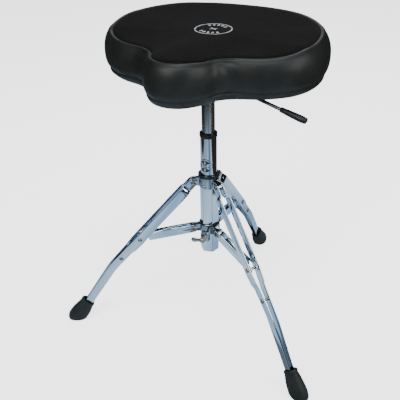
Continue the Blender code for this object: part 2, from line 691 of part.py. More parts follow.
def rim_height(forward):
    """Height of the cushion's rim at a place along the seat."""
    for (a, low), (b, high) in zip(RIM, RIM[1:]):
        if forward <= b:
            share = max(0.0, (forward - a) / (b - a))
            return low + (high - low) * share
    return RIM[-1][1]


def side_section(rim, inset):
    """Side of the cushion as (outward, height), moved inwards by inset."""
    points = [Vector((out * BULGE, LIP_Z + (rim - LIP_Z) * up)) for out, up in SIDE]
    points.append(Vector((-SEAM_INSET + GAP, rim)))
    if not inset:
        return points
    moved = []
    for i, point in enumerate(points):
        before = points[max(i - 1, 0)]
        after = points[min(i + 1, len(points) - 1)]
        along = (after - before).normalized()
        moved.append(point + Vector((-along.y, along.x)) * inset)
    return moved


def top_height(rim, share):
    """Height of the top at a share of the way from the emblem to the rim."""
    flat_share = 0.27
    rise = max(0.0, (share - flat_share) / (1 - flat_share))
    return EMBLEM_Z + (rim - EMBLEM_Z) * rise ** 1.5


TOP_SHARES = (0.84, 0.64, 0.45, 0.27)


def lofted(name, rings, close_start, close_end):
    """Join rings of points into a skin, closing its first and last rings where asked."""
    form = bmesh.new()
    rows = [[form.verts.new(point) for point in ring] for ring in rings]
    count = len(rows[0])
    for low, high in zip(rows, rows[1:]):
        for i in range(count):
            j = (i + 1) % count
            form.faces.new((low[i], low[j], high[j], high[i]))
    if close_start:
        form.faces.new(rows[0][::-1])
    if close_end:
        form.faces.new(rows[-1])
    bmesh.ops.triangulate(form, faces=[face for face in form.faces if len(face.verts) > 4])
    mesh = bpy.data.meshes.new(name)
    form.to_mesh(mesh)
    form.free()
    return tool(name, mesh)


def side_rings(inset, floor=None):
    """Rings of the cushion's side, from under the lip up to the seam, or from a floor's height up."""
    loop, normals = seat_loop()
    sections = [side_section(rim_height(point.y), inset) for point in loop]
    if floor is not None:
        for section in sections:
            low, high = section[2], section[3]
            section[2] = low.lerp(high, (floor - low.y) / (high.y - low.y))
            del section[:2]
    rings = []
    for level in range(len(sections[0])):
        ring = []
        for point, normal, section in zip(loop, normals, sections):
            place = point + normal * section[level].x
            ring.append((place.x, place.y, section[level].y))
        rings.append(ring)
    return rings


def top_rings(edge, drop):
    """Rings of the cushion's top, from the seam in to the flat round the emblem."""
    loop, normals = seat_loop()
    centre = Vector((0.0, -EMBLEM_BACK))
    rings = []
    for share in (1.0, *TOP_SHARES):
        ring = []
        for point, normal in zip(loop, normals):
            rim = rim_height(point.y)
            border = point + normal * (-SEAM_INSET - edge)
            place = centre + (border - centre) * share
            ring.append((place.x, place.y, top_height(rim, share) - drop))
        rings.append(ring)
    return rings


def thick(obj, amount):
    """Give a skin its thickness, inwards from its face."""
    solid = obj.modifiers.new("cloth", "SOLIDIFY")
    solid.thickness = amount
    solid.offset = -1.0
    solid.use_even_offset = True
    return combine(obj)


def inset_outline(distance):
    """The lip's outline moved inwards."""
    loop, normals = seat_loop()
    return [tuple(point - normal * distance) for point, normal in zip(loop, normals)]


def bolt_places():
    """Places of the four bolts that hold the bracket, in the seat's frame."""
    return [(x * 0.036, y * 0.050) for x in (-1, 1) for y in (-1, 1)]


def build_cushion(seat):
    """Board, foam, vinyl side, cloth top, dust cover and emblem."""
    holes = [arc((-x, -y), 0.0034, 0, 330, 11) for x, y in bolt_places()]
    bottom = BOARD_Z + BOARD_THICK / 2
    board = placed(flat("board", [inset_outline(0.0045), *holes], BOARD_THICK), (0, 0, bottom))
    part("seat_board", combine(board), PLYWOOD, seat)
    dust = placed(flat("dust", [inset_outline(0.0250), *holes], 0.0012), (0, 0, LIP_Z + 0.0008))
    part("dust_cover", combine(dust), BLACK_CLOTH, seat)
    clear = COVER + GAP
    base = BOARD_Z + BOARD_THICK + GAP
    foam = lofted("foam", side_rings(clear, base) + top_rings(0.0, clear)[1:], True, True)
    part("seat_foam", combine(foam), FOAM, seat)
    side = lofted("side", side_rings(0.0), False, False)
    part("side_cover", thick(side, COVER), VINYL, seat)
    top = lofted("top", top_rings(3 * GAP, 0.0), False, True)
    part("top_cover", thick(top, COVER), VELOUR, seat)
    height = EMBLEM_Z + GAP
    patch = rod("emblem", EMBLEM_RADIUS, (0, -EMBLEM_BACK, height), (0, -EMBLEM_BACK, height + 0.0010), 32)
    part("seat_emblem", combine(patch), THREAD, seat)


# ---------------------------------------------------------------- bracket and lever
def bracket_mesh():
    """Steel bracket under the board: flanged plate, a box for the lever and the gas spring's socket."""
    sheet = 0.0025
    top = LIP_Z - GAP
    half_x = 0.0480
    half_y = 0.0620
    corners = [(half_x, half_y), (-half_x, half_y), (-half_x, -half_y), (half_x, -half_y)]
    outline = []
    for k, (x, y) in enumerate(corners):
        centre = (x - math.copysign(0.006, x), y - math.copysign(0.006, y))
        outline += arc(centre, 0.006, 90 * k, 90 * k + 90, 4)
    holes = [arc(place, 0.0034, 0, 330, 11) for place in bolt_places()]
    plate = placed(flat("plate", [outline, *holes], sheet), (0, 0, top - sheet / 2))
    pieces = []
    for sign in (-1, 1):
        inner = sign * (half_x - sheet)
        outer = sign * (half_x - 0.0002)
        pieces.append(box("flange", (min(inner, outer), -half_y + 0.008, top - 0.0200),
                          (max(inner, outer), half_y - 0.008, top - sheet / 2)))
        near, far = (sign * LEVER_BOX_HALF - sheet / 2, sign * LEVER_BOX_HALF + sheet / 2)
        wall = box("wall", (-0.0300, near, 0.5700), (0.0430, far, top - 0.001))
        pieces.append(placed(wall, rotation=(0, 0, LEVER_TURN)))
    pan = box("pan", (-0.0298, -0.0240, 0.5702), (0.0300, 0.0240, 0.5727))
    pieces.append(placed(pan, rotation=(0, 0, LEVER_TURN)))
    pieces.append(turned("socket", ring_profile(GAS_RADIUS - 0.002, 0.0200, 0.5560, 0.5790), ring=True))
    notch = placed(box("notch", (0.0380, -0.0070, 0.57), (0.0600, 0.0070, top - sheet - 0.0010)),
                   rotation=(0, 0, LEVER_TURN))
    bore = rod("bore", GAS_RADIUS + GAP, (0, 0, 0.54), (0, 0, GAS_TOP + 0.005), 32)
    pin_hole = rod("pin_hole", LEVER_PIN + GAP, (LEVER_PIVOT, -0.04, LEVER_Z), (LEVER_PIVOT, 0.04, LEVER_Z))
    pin_hole = placed(pin_hole, rotation=(0, 0, LEVER_TURN))
    return combine(plate, add=pieces, cut=[notch, bore, pin_hole])


def lever_point(reach):
    """Point on the lever's middle line at a distance along X from the column's axis."""
    drop = max(0.0, reach - LEVER_BEND) * math.tan(LEVER_SLOPE)
    return Vector((reach, 0.0, LEVER_Z - drop))


def lever_rod_mesh():
    """Bent rod from over the gas spring's button out into the handle, with a boss on its pin."""
    end = HANDLE_START + 0.040
    reaches = [-0.0035, 0.0800, 0.0850, 0.0930, 0.0980, end]
    curve = bpy.data.curves.new("lever", "CURVE")
    curve.dimensions = "3D"
    curve.bevel_depth = LEVER_RADIUS
    curve.bevel_resolution = 2
    curve.use_fill_caps = True
    spline = curve.splines.new("POLY")
    spline.points.add(len(reaches) - 1)
    for point, reach in zip(spline.points, reaches):
        point.co = (*lever_point(reach), 1.0)
    bar = placed(tool("lever", curve))
    boss = rod("boss", 0.0062, (LEVER_PIVOT, -0.0080, LEVER_Z), (LEVER_PIVOT, 0.0080, LEVER_Z), 20)
    hole = rod("hole", LEVER_PIN + GAP, (LEVER_PIVOT, -0.02, LEVER_Z), (LEVER_PIVOT, 0.02, LEVER_Z))
    return combine(bar, add=[boss], cut=[hole])


def handle_mesh():
    """Tapered grip with a blind bore for the rod, laid along the lever's slope."""
    bore = LEVER_RADIUS + GAP
    length = HANDLE_LENGTH
    profile = ((0.0, -0.0430), (bore, -0.0430), (bore, 0.0), (0.0050, 0.0), (0.0062, -0.0180),
               (0.0075, -length + 0.0120), (0.0068, -length + 0.0030), (0.0045, -length + 0.0005),
               (0.0, -length))
    grip = turned("grip", profile, steps=20)
    start = lever_point(HANDLE_START)
    return evaluated_mesh(placed(grip, tuple(start), (0, -90 + math.degrees(LEVER_SLOPE), 0)))


def build_mechanism(seat, lever):
    """Bracket with its bolts, and the lever that presses the gas spring's button."""
    part("seat_bracket", bracket_mesh(), DARK_STEEL, seat)
    under = LIP_Z - GAP - 0.0025 - GAP
    profile = ((0.0, 0.6130), (0.0030, 0.6130), (0.0030, under), (0.0055, under), (0.0055, under - 0.0030),
               (0.0035, under - 0.0040), (0.0, under - 0.0040))
    bolt = evaluated_mesh(turned("bolt", profile, steps=16))
    for k, (x, y) in enumerate(bolt_places()):
        part(f"bracket_bolt_{k + 1}", bolt, ZINC, seat, (x, y, 0))
    home = Matrix.Translation((-LEVER_PIVOT, 0, -LEVER_Z))
    for name, mesh, finish in (("lever_rod", lever_rod_mesh(), DARK_STEEL),
                               ("lever_handle", handle_mesh(), BLACK_PLASTIC)):
        mesh.transform(home)
        part(name, mesh, finish, lever)
    pin = evaluated_mesh(headed_pin("lever_pin", LEVER_BOX_HALF + 0.0020, LEVER_PIN, 0.0040, 0.0012))
    part("lever_pin", pin, ZINC, lever)


def main():
    """Build the whole throne."""
    axis = pivot("column_axis", (COLUMN_X, COLUMN_Y, 0))
    build_column(axis)
    build_legs(axis)
    build_collar(axis)
    swivel = pivot("swivel_axis", (0, 0, 0), 0, axis)
    lift = pivot("lift_axis", (0, 0, 0), SEAT_YAW, swivel)
    build_gas_spring(swivel, lift)
    cushion = pivot("cushion_frame", (0, 0, 0), 180, lift)
    build_cushion(cushion)
    turn = math.radians(LEVER_TURN)
    lever = pivot("lever_axis", (LEVER_PIVOT * math.cos(turn), LEVER_PIVOT * math.sin(turn), LEVER_Z),
                  LEVER_TURN, lift)
    build_mechanism(lift, lever)


main()
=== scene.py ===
"""Looks of a drum throne: a saddle seat on a gas spring, over a folding tripod of paired chrome legs.

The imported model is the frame. Every piece here takes its place from it and rides on one of its bodies.
Metres, +Z up, the floor at z = 0.
"""

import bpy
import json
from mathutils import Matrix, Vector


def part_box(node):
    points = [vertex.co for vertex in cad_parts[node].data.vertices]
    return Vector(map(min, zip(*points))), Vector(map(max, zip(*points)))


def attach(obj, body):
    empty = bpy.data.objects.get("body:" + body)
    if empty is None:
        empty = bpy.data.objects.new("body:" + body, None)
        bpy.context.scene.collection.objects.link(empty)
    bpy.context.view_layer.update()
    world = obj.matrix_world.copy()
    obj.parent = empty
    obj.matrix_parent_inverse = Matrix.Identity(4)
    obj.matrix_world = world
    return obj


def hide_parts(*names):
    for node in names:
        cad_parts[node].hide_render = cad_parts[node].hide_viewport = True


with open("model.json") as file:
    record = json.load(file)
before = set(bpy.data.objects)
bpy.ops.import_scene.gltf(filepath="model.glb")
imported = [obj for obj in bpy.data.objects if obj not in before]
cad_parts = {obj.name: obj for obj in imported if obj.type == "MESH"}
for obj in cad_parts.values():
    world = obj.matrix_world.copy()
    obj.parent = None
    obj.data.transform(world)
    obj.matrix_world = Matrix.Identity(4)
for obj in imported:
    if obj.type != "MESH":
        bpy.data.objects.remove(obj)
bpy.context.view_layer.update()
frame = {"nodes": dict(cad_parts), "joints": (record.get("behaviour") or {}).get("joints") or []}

import json
import logging
import math
from dataclasses import dataclass, field
from enum import Enum
from typing import Iterable, Mapping, Optional, Sequence, Union

import bmesh
import bpy
from mathutils import Matrix, Vector, noise
from mathutils.bvhtree import BVHTree

LOG = logging.getLogger("drum_throne")
Point2 = tuple[float, float]
Colour = tuple[float, float, float]
Ring = list[Vector]
Spot = tuple[Vector, Vector, Vector]        # a place, the way up from it and the way along it
Inputs = Mapping[Union[str, int], object]   # a node's inputs, by name or number

SMOOTH_ANGLE = math.radians(38)      # edges sharper than this stay sharp in shading
LEG_COUNT = 3
LEG_AZIMUTH = 62.6                   # degrees from +X to the first leg
GAP_AZIMUTH = -117.4                 # middle of the gap that the badge and the wing bolt share
HEX_TURN = -74.0                     # azimuth of one corner of the hexagonal tube
SEAT_TURN = 155.0                    # the seat's frame: x to its side, y forward to the nose
RIGHT_ANGLE = math.radians(90)
GAP = 0.0003                         # room between parts that touch
SHANK = 0.0029                       # radius of a rivet's shank
BAND = 0.314                         # distance between a wave texture's bands at a scale of 1


# ---------------------------------------------------------------- frame
def joint(name: str) -> dict:
    """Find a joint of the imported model.

    Args:
        name: The joint's name.

    Returns:
        The joint's record.
    """
    return next(entry for entry in frame["joints"] if entry["name"] == name)


def column_axis() -> Vector:
    """Foot of the column's axis on the floor."""
    place = joint("seat_swivel")["pos_m"]
    return Vector((place[0], place[1], 0.0))


def turned_frame(azimuth: float) -> Matrix:
    """Frame with its origin at the column's foot and its X axis at an azimuth.

    Args:
        azimuth: Degrees from the world's X axis.

    Returns:
        The frame's matrix.
    """
    return Matrix.Translation(column_axis()) @ Matrix.Rotation(math.radians(azimuth), 4, "Z")


def leg_frame(index: int) -> Matrix:
    """Frame of one leg's plane: distance from the column, sideways, height."""
    return turned_frame(LEG_AZIMUTH + 360.0 / LEG_COUNT * index)


def gap_frame(index: int) -> Matrix:
    """Frame of the middle of one gap between legs."""
    return turned_frame(GAP_AZIMUTH + 360.0 / LEG_COUNT * index)


# ---------------------------------------------------------------- nodes
def feed(tree: bpy.types.NodeTree, node: bpy.types.Node, inputs: Inputs) -> None:
    """Set a node's inputs, and link those whose value is another node's output.

    Args:
        tree: The node's tree.
        node: The node.
        inputs: The values and outputs.
    """
    for name, value in inputs.items():
        if isinstance(value, bpy.types.NodeSocket):
            tree.links.new(value, node.inputs[name])
        else:
            node.inputs[name].default_value = value


def add_node(tree: bpy.types.NodeTree, kind: str, inputs: Inputs, **settings: object) -> bpy.types.Node:
    """Add a node to a tree.

    Args:
        tree: The tree.
        kind: The node's type.
        inputs: Values and outputs for its inputs.
        **settings: Its own settings, which are made before its inputs.

    Returns:
        The node.
    """
    node = tree.nodes.new(kind)
    for name, value in settings.items():
        setattr(node, name, value)
    feed(tree, node, inputs)
    return node


def colour_ramp(tree: bpy.types.NodeTree, share: bpy.types.NodeSocket,
                stops: Sequence[tuple[float, Colour]]) -> bpy.types.NodeSocket:
    """Add a colour ramp.

    Args:
        tree: The tree.
        share: What it reads, 0 to 1.
        stops: (position, colour) in rising order.

    Returns:
        The colour.
    """
    node = add_node(tree, "ShaderNodeValToRGB", {"Fac": share})
    elements = node.color_ramp.elements
    while len(elements) < len(stops):
        elements.new(1.0)
    for element, (position, _) in zip(elements, stops):
        element.position = position
    for element, (_, colour) in zip(node.color_ramp.elements, stops):
        element.color = (*colour, 1.0)
    return node.outputs["Color"]


# ---------------------------------------------------------------- finishes
class Surface(Enum):
    """How a finish's surface is worked."""

    PLATED = "plated"
    BRUSHED = "brushed"
    CAST = "cast"
    MOULDED = "moulded"
    GRAINED = "grained"
    PILE = "pile"
    WOVEN = "woven"
    PLY = "ply"
    THREAD = "thread"


# how much darker a finish's low places are than its middle
GRAIN_SHADE = {Surface.PILE: 0.55, Surface.WOVEN: 0.60, Surface.GRAINED: 0.25, Surface.PLY: 0.45,
               Surface.THREAD: 0.50, Surface.MOULDED: 0.20}


@dataclass(frozen=True)
class Finish:
    """A surface finish, built as a node material.

    Args:
        name: Material's name.
        colour: Main colour.
        second: Colour that the main one drifts to.
        roughness: Middle of the roughness.
        spread: How far the roughness drifts either way.
        metallic: From 0, not metal, to 1.
        surface: How the surface is worked.
        grain: Size of the surface's grain in metres.
        depth: Height of the grain in metres.
        strength: Strength of the bump.
        slot: Name of its slot; not used.
        sheen: Weight of the cloth sheen.
        shine: Level of the mirror-like reflection of a finish that isn't metal.
    """

    name: str
    colour: Colour
    second: Colour
    roughness: float
    spread: float
    metallic: float
    surface: Surface
    grain: float
    depth: float
    strength: float
    slot: str
    sheen: float = 0.0
    shine: float = 0.5

    def material(self) -> bpy.types.Material:
        """Build the material once, and give it back after that.

        Returns:
            The material.
        """
        known = bpy.data.materials.get(self.name)
        if known is not None and known.get("finished"):
            return known
        material = bpy.data.materials.new(self.name)
        material.name = self.name
        material["finished"] = True
        material.use_nodes = True
        tree = material.node_tree
        place = add_node(tree, "ShaderNodeTexCoord", {}).outputs["Object"]
        drift = self._noise(tree, place, self.grain * 40.0, 4.0)
        colour = colour_ramp(tree, drift, ((0.38, self.colour), (0.68, self.second)))
        height = self._height(tree, place)
        rough = add_node(tree, "ShaderNodeMapRange", {
            "Value": drift, "To Min": self.roughness - self.spread, "To Max": self.roughness + self.spread})
        bump = add_node(tree, "ShaderNodeBump", {
            "Strength": self.strength, "Distance": self.depth, "Height": height})
        feed(tree, tree.nodes["Principled BSDF"], {
            "Metallic": self.metallic, "Sheen Weight": self.sheen, "Sheen Roughness": 0.45,
            "Specular IOR Level": self.shine, "Base Color": self._shaded(tree, colour, height),
            "Roughness": rough.outputs["Result"], "Normal": bump.outputs["Normal"]})
        return material

    def _shaded(self, tree: bpy.types.NodeTree, colour: bpy.types.NodeSocket,
                height: bpy.types.NodeSocket) -> bpy.types.NodeSocket:
        """Darken the low places of cloth, grain and wood.

        Args:
            tree: The material's tree.
            colour: Colour so far.
            height: Height of the grain, 0 to 1.

        Returns:
            The colour to use.
        """
        share = GRAIN_SHADE.get(self.surface, 0.0)
        if not share:
            return colour
        lift = add_node(tree, "ShaderNodeMapRange", {
            "Value": height, "To Min": 1.0 - share, "To Max": 1.0 + share})
        scaled = add_node(tree, "ShaderNodeVectorMath", {0: colour, "Scale": lift.outputs["Result"]},
                          operation="SCALE")
        return scaled.outputs["Vector"]

    @staticmethod
    def _noise(tree: bpy.types.NodeTree, place: bpy.types.NodeSocket, size: float, detail: float,
               ) -> bpy.types.NodeSocket:
        """Add a noise whose features have a size in metres.

        Args:
            tree: The material's tree.
            place: Coordinates.
            size: Size of a feature.
            detail: Octaves.

        Returns:
            The noise, 0 to 1.
        """
        node = add_node(tree, "ShaderNodeTexNoise", {"Vector": place, "Scale": 1.0 / size, "Detail": detail})
        return node.outputs["Fac"]

    def _height(self, tree: bpy.types.NodeTree, place: bpy.types.NodeSocket) -> bpy.types.NodeSocket:
        """Height of the surface's grain.

        Args:
            tree: The material's tree.
            place: Coordinates.

        Returns:
            The height, about 0 to 1.
        """
        makers = {Surface.BRUSHED: self._stretched, Surface.GRAINED: self._pebbles,
                  Surface.WOVEN: self._weave, Surface.PLY: self._plies, Surface.THREAD: self._weave}
        maker = makers.get(self.surface)
        if maker:
            return maker(tree, place)
        return self._noise(tree, place, self.grain, 3.0)

    def _stretched(self, tree: bpy.types.NodeTree, place: bpy.types.NodeSocket) -> bpy.types.NodeSocket:
        """Fine lines round the upright axis, as turning or brushing leaves."""
        mapping = add_node(tree, "ShaderNodeMapping", {"Vector": place, "Scale": (1.0, 1.0, 14.0)})
        return self._noise(tree, mapping.outputs["Vector"], self.grain * 8.0, 4.0)

    def _pebbles(self, tree: bpy.types.NodeTree, place: bpy.types.NodeSocket) -> bpy.types.NodeSocket:
        """Rounded pebbles with creases between them.

        Args:
            tree: The material's tree.
            place: Coordinates.

        Returns:
            The height, 1 on a pebble's top.
        """
        cells = add_node(tree, "ShaderNodeTexVoronoi", {
            "Vector": place, "Scale": 1.0 / self.grain, "Smoothness": 0.35}, feature="SMOOTH_F1")
        height = add_node(tree, "ShaderNodeMapRange", {
            "Value": cells.outputs["Distance"], "From Max": 0.75, "To Min": 1.0, "To Max": 0.0})
        return height.outputs["Result"]

    def _weave(self, tree: bpy.types.NodeTree, place: bpy.types.NodeSocket) -> bpy.types.NodeSocket:
        """Two sets of threads, over and under each other.

        Args:
            tree: The material's tree.
            place: Coordinates.

        Returns:
            The height, 1 where both sets are high.
        """
        sets = [add_node(tree, "ShaderNodeTexWave", {
            "Vector": place, "Scale": BAND / self.grain, "Distortion": 0.6, "Detail Scale": 3.0},
            bands_direction=direction).outputs["Fac"] for direction in ("X", "Y")]
        crossed = add_node(tree, "ShaderNodeMath", {0: sets[0], 1: sets[1]}, operation="MULTIPLY")
        return crossed.outputs["Value"]

    def _plies(self, tree: bpy.types.NodeTree, place: bpy.types.NodeSocket) -> bpy.types.NodeSocket:
        """Layers of veneer up the board's edge, broken by the grain."""
        wave = add_node(tree, "ShaderNodeTexWave", {
            "Vector": place, "Scale": BAND / self.grain, "Distortion": 1.5, "Detail": 3.0},
            bands_direction="Z")
        return wave.outputs["Fac"]


CHROME = Finish("bright_chrome", (0.72, 0.80, 0.87), (0.64, 0.72, 0.80), 0.070, 0.03, 1.0,
                Surface.PLATED, 0.0040, 0.00005, 0.25, "chrome")
CAST_CHROME = Finish("cast_chrome", (0.50, 0.56, 0.62), (0.30, 0.33, 0.36), 0.11, 0.04, 1.0,
                     Surface.CAST, 0.0025, 0.00008, 0.35, "chrome")
SATIN_STEEL = Finish("satin_steel", (0.66, 0.71, 0.70), (0.56, 0.61, 0.60), 0.27, 0.04, 1.0,
                     Surface.PLATED, 0.0020, 0.00003, 0.25, "dark_steel")
DARK_STEEL = Finish("dark_steel", (0.050, 0.050, 0.053), (0.035, 0.035, 0.037), 0.42, 0.08, 0.6,
                    Surface.CAST, 0.0012, 0.00006, 0.30, "dark_steel")
LEVER_STEEL = Finish("lever_steel", (0.26, 0.27, 0.25), (0.18, 0.19, 0.17), 0.30, 0.08, 1.0,
                     Surface.BRUSHED, 0.0006, 0.00003, 0.30, "dark_steel")
RIVET_STEEL = Finish("rivet_steel", (0.42, 0.36, 0.27), (0.24, 0.19, 0.13), 0.22, 0.08, 1.0,
                     Surface.CAST, 0.0010, 0.00005, 0.40, "zinc_steel")
ZINC = Finish("zinc_steel", (0.50, 0.51, 0.52), (0.38, 0.39, 0.40), 0.30, 0.08, 1.0,
              Surface.CAST, 0.0012, 0.00005, 0.40, "zinc_steel")
BADGE_DARK = Finish("badge_ground", (0.016, 0.018, 0.020), (0.030, 0.033, 0.036), 0.45, 0.08, 0.3,
                    Surface.CAST, 0.0008, 0.00004, 0.40, "zinc_steel")
WING_METAL = Finish("wing_metal", (0.50, 0.48, 0.41), (0.32, 0.30, 0.24), 0.30, 0.10, 1.0,
                    Surface.CAST, 0.0012, 0.00010, 0.50, "brass_grey")
PLASTIC = Finish("black_plastic", (0.0050, 0.0065, 0.0066), (0.0075, 0.0090, 0.0092), 0.40, 0.08, 0.0,
                 Surface.MOULDED, 0.0007, 0.00005, 0.35, "black_plastic", shine=0.30)
RUBBER = Finish("black_rubber", (0.0070, 0.0095, 0.0092), (0.0105, 0.0130, 0.0127), 0.50, 0.10, 0.0,
                Surface.MOULDED, 0.0009, 0.00008, 0.50, "black_rubber", shine=0.25)
PLYWOOD = Finish("plywood", (0.56, 0.40, 0.24), (0.42, 0.29, 0.16), 0.70, 0.10, 0.0,
                 Surface.PLY, 0.0015, 0.00010, 0.40, "plywood")
VINYL = Finish("black_vinyl", (0.0068, 0.0082, 0.0074), (0.0088, 0.0102, 0.0094), 0.45, 0.05, 0.0,
               Surface.GRAINED, 0.0011, 0.00012, 0.40, "black_vinyl", shine=0.32)
VELOUR = Finish("black_velour", (0.0026, 0.0026, 0.0022), (0.0040, 0.0038, 0.0032), 0.92, 0.05, 0.0,
                Surface.PILE, 0.0007, 0.00040, 0.70, "black_velour", sheen=0.02, shine=0.08)
BLACK_THREAD = Finish("black_thread", (0.0050, 0.0060, 0.0058), (0.0075, 0.0085, 0.0082), 0.60, 0.08, 0.0,
                      Surface.THREAD, 0.0004, 0.00010, 0.60, "black_vinyl", shine=0.20)
WHITE_THREAD = Finish("light_thread", (0.62, 0.65, 0.67), (0.50, 0.53, 0.56), 0.55, 0.08, 0.0,
                      Surface.THREAD, 0.0004, 0.00015, 0.60, "light_thread", sheen=0.10)
BLACK_CLOTH = Finish("black_cloth", (0.0060, 0.0060, 0.0064), (0.011, 0.011, 0.0115), 0.90, 0.05, 0.0,
                     Surface.WOVEN, 0.0009, 0.00020, 0.70, "black_cloth", shine=0.15)


# ---------------------------------------------------------------- mesh work
def new_object(name: str, form: bmesh.types.BMesh, matrix: Optional[Matrix] = None) -> bpy.types.Object:
    """Turn a bmesh into an object at the origin, with its place in its mesh.

    Args:
        name: Object's name.
        form: The bmesh, which is freed.
        matrix: Places the mesh in the world.

    Returns:
        The object, smooth with sharp edges kept.
    """
    bmesh.ops.recalc_face_normals(form, faces=form.faces)
    mesh = bpy.data.meshes.new(name)
    form.to_mesh(mesh)
    form.free()
    if matrix is not None:
        mesh.transform(matrix)
    obj = bpy.data.objects.new(name, mesh)
    bpy.context.scene.collection.objects.link(obj)
    soften(mesh)
    return obj


def soften(mesh: bpy.types.Mesh) -> None:
    """Shade a mesh smooth and keep its sharp edges.

    Args:
        mesh: The mesh.
    """
    mesh.polygons.foreach_set("use_smooth", [True] * len(mesh.polygons))
    mesh.set_sharp_from_angle(angle=SMOOTH_ANGLE)
    mesh.update()


def loft(rings: Sequence[Ring], closed: bool = False, caps: bool = True) -> bmesh.types.BMesh:
    """Join rings of points into a skin.

    Args:
        rings: Rings with the same number of points. A ring of one point is a pole.
        closed: Join the last ring to the first, as round a tube's wall.
        caps: Close the two ends.

    Returns:
        The skin.
    """
    form = bmesh.new()
    rows = [[form.verts.new(point) for point in ring] for ring in rings]
    pairs = list(zip(rows, rows[1:]))
    if closed:
        pairs.append((rows[-1], rows[0]))
    for low, high in pairs:
        count = max(len(low), len(high))
        for i in range(count):
            j = (i + 1) % count
            corners = [low[i % len(low)], low[j % len(low)], high[j % len(high)], high[i % len(high)]]
            unique = list(dict.fromkeys(corners))
            form.faces.new(unique)
    if caps and not closed:
        for row in (rows[0], rows[-1]):
            if len(row) > 2:
                form.faces.new(row)
    return form


def turns(count: int, start: int = 0, of: Optional[int] = None) -> list[float]:
    """Angles of even steps.

    Args:
        count: How many.
        start: Number of the first.
        of: Steps in the whole round, or all of them.

    Returns:
        The angles.
    """
    return [2.0 * math.pi * (start + k) / (of or count) for k in range(count)]


def oval(half_x: float, half_y: float, steps: int) -> list[Point2]:
    """Outline of an ellipse."""
    return [(half_x * math.cos(a), half_y * math.sin(a)) for a in turns(steps)]


def circle(radius: float, height: float, steps: int) -> Ring:
    """A level circle of points, or one point where the radius is nought."""
    if radius < 1e-7:
        return [Vector((0.0, 0.0, height))]
    return [Vector((x, y, height)) for x, y in oval(radius, radius, steps)]


def turned(name: str, profile: Iterable[Point2], matrix: Matrix, steps: int = 64,
           wall: bool = False) -> bpy.types.Object:
    """Turn a profile round Z.

    Args:
        name: Object's name.
        profile: (radius, height) points.
        matrix: Places it in the world.
        steps: Points round.
        wall: The profile is a closed loop that never meets the axis.

    Returns:
        The turned piece.
    """
    rings = [circle(radius, height, steps) for radius, height in profile]
    return new_object(name, loft(rings, closed=wall), matrix)


def along_x(matrix: Matrix, height: float) -> Matrix:
    """Frame whose Z runs along another frame's X axis, at a height."""
    return matrix @ Matrix.Translation((0, 0, height)) @ Matrix.Rotation(math.radians(90), 4, "Y")


def settled(obj: bpy.types.Object) -> bpy.types.Object:
    """Replace an object's mesh with its evaluated one and drop its modifiers.

    Args:
        obj: The object.

    Returns:
        The same object.
    """
    graph = bpy.context.evaluated_depsgraph_get()
    graph.update()
    mesh = bpy.data.meshes.new_from_object(obj.evaluated_get(graph), depsgraph=graph)
    obj.modifiers.clear()
    obj.data = mesh
    soften(mesh)
    return obj


def bevelled(obj: bpy.types.Object, width: float, segments: int = 3, angle: float = 40.0,
             ) -> bpy.types.Object:
    """Round an object's edges.

    Args:
        obj: The object.
        width: Width of the rounding.
        segments: Steps across it.
        angle: Edges flatter than this stay.

    Returns:
        The same object, with a plain mesh.
    """
    modifier = obj.modifiers.new("edges", "BEVEL")
    modifier.width = width
    modifier.segments = segments
    modifier.limit_method = "ANGLE"
    modifier.angle_limit = math.radians(angle)
    modifier.use_clamp_overlap = True
    return settled(obj)


def worked_copy(name: str, node: str, width: float, segments: int = 3) -> bpy.types.Object:
    """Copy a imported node, merge its triangles into faces and round its edges.

    Args:
        name: The copy's name.
        node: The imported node.
        width: Width of the rounding.
        segments: Steps across it.

    Returns:
        The copy.
    """
    form = bmesh.new()
    form.from_mesh(frame["nodes"][node].data)
    bmesh.ops.remove_doubles(form, verts=form.verts, dist=1e-6)
    bmesh.ops.dissolve_limit(form, angle_limit=math.radians(1.0), verts=form.verts, edges=form.edges)
    return bevelled(new_object(name, form), width, segments)


def rounded_box_ring(half_x: float, half_y: float, radius: float, steps: int = 4) -> list[Point2]:
    """Outline of a rectangle with round corners, turning left.

    Args:
        half_x: Half its width.
        half_y: Half its height.
        radius: Radius of its corners.
        steps: Steps round each corner.

    Returns:
        The outline.
    """
    points = []
    for k, (sx, sy) in enumerate(((1, 1), (-1, 1), (-1, -1), (1, -1))):
        for i in range(steps + 1):
            a = math.radians(90.0 * k + 90.0 * i / steps)
            points.append((sx * (half_x - radius) + radius * math.cos(a),
                           sy * (half_y - radius) + radius * math.sin(a)))
    return points


def smooth_value(table: Sequence[tuple[float, ...]], at: float) -> tuple[float, ...]:
    """Read a table of (key, values...) with smooth steps between its rows.

    Args:
        table: Rows in rising order of key.
        at: Where to read.

    Returns:
        The values there.
    """
    if at <= table[0][0]:
        return tuple(table[0][1:])
    for before, after in zip(table, table[1:]):
        if at <= after[0]:
            share = (at - before[0]) / (after[0] - before[0])
            share = share * share * (3.0 - 2.0 * share)
            return tuple(a + (b - a) * share for a, b in zip(before[1:], after[1:]))
    return tuple(table[-1][1:])


def catmull(points: Sequence[Vector], per_span: int, closed: bool) -> list[Vector]:
    """Smooth line through points.

    Args:
        points: The points.
        per_span: Steps in each span.
        closed: Whether the line closes on itself.

    Returns:
        The line's points.
    """
    count = len(points)
    line = []
    for i in range(count if closed else count - 1):
        if closed:
            near = [points[(i + k) % count] for k in (-1, 0, 1, 2)]
        else:
            near = [points[min(max(i + k, 0), count - 1)] for k in (-1, 0, 1, 2)]
        before, first, second, after = near
        for step in range(per_span):
            t = step / per_span
            place = 2 * first + (second - before) * t
            place = place + (2 * before - 5 * first + 4 * second - after) * t * t
            place = place + (3 * first - before - 3 * second + after) * t ** 3
            line.append(place / 2)
    if not closed:
        line.append(points[-1].copy())
    return line


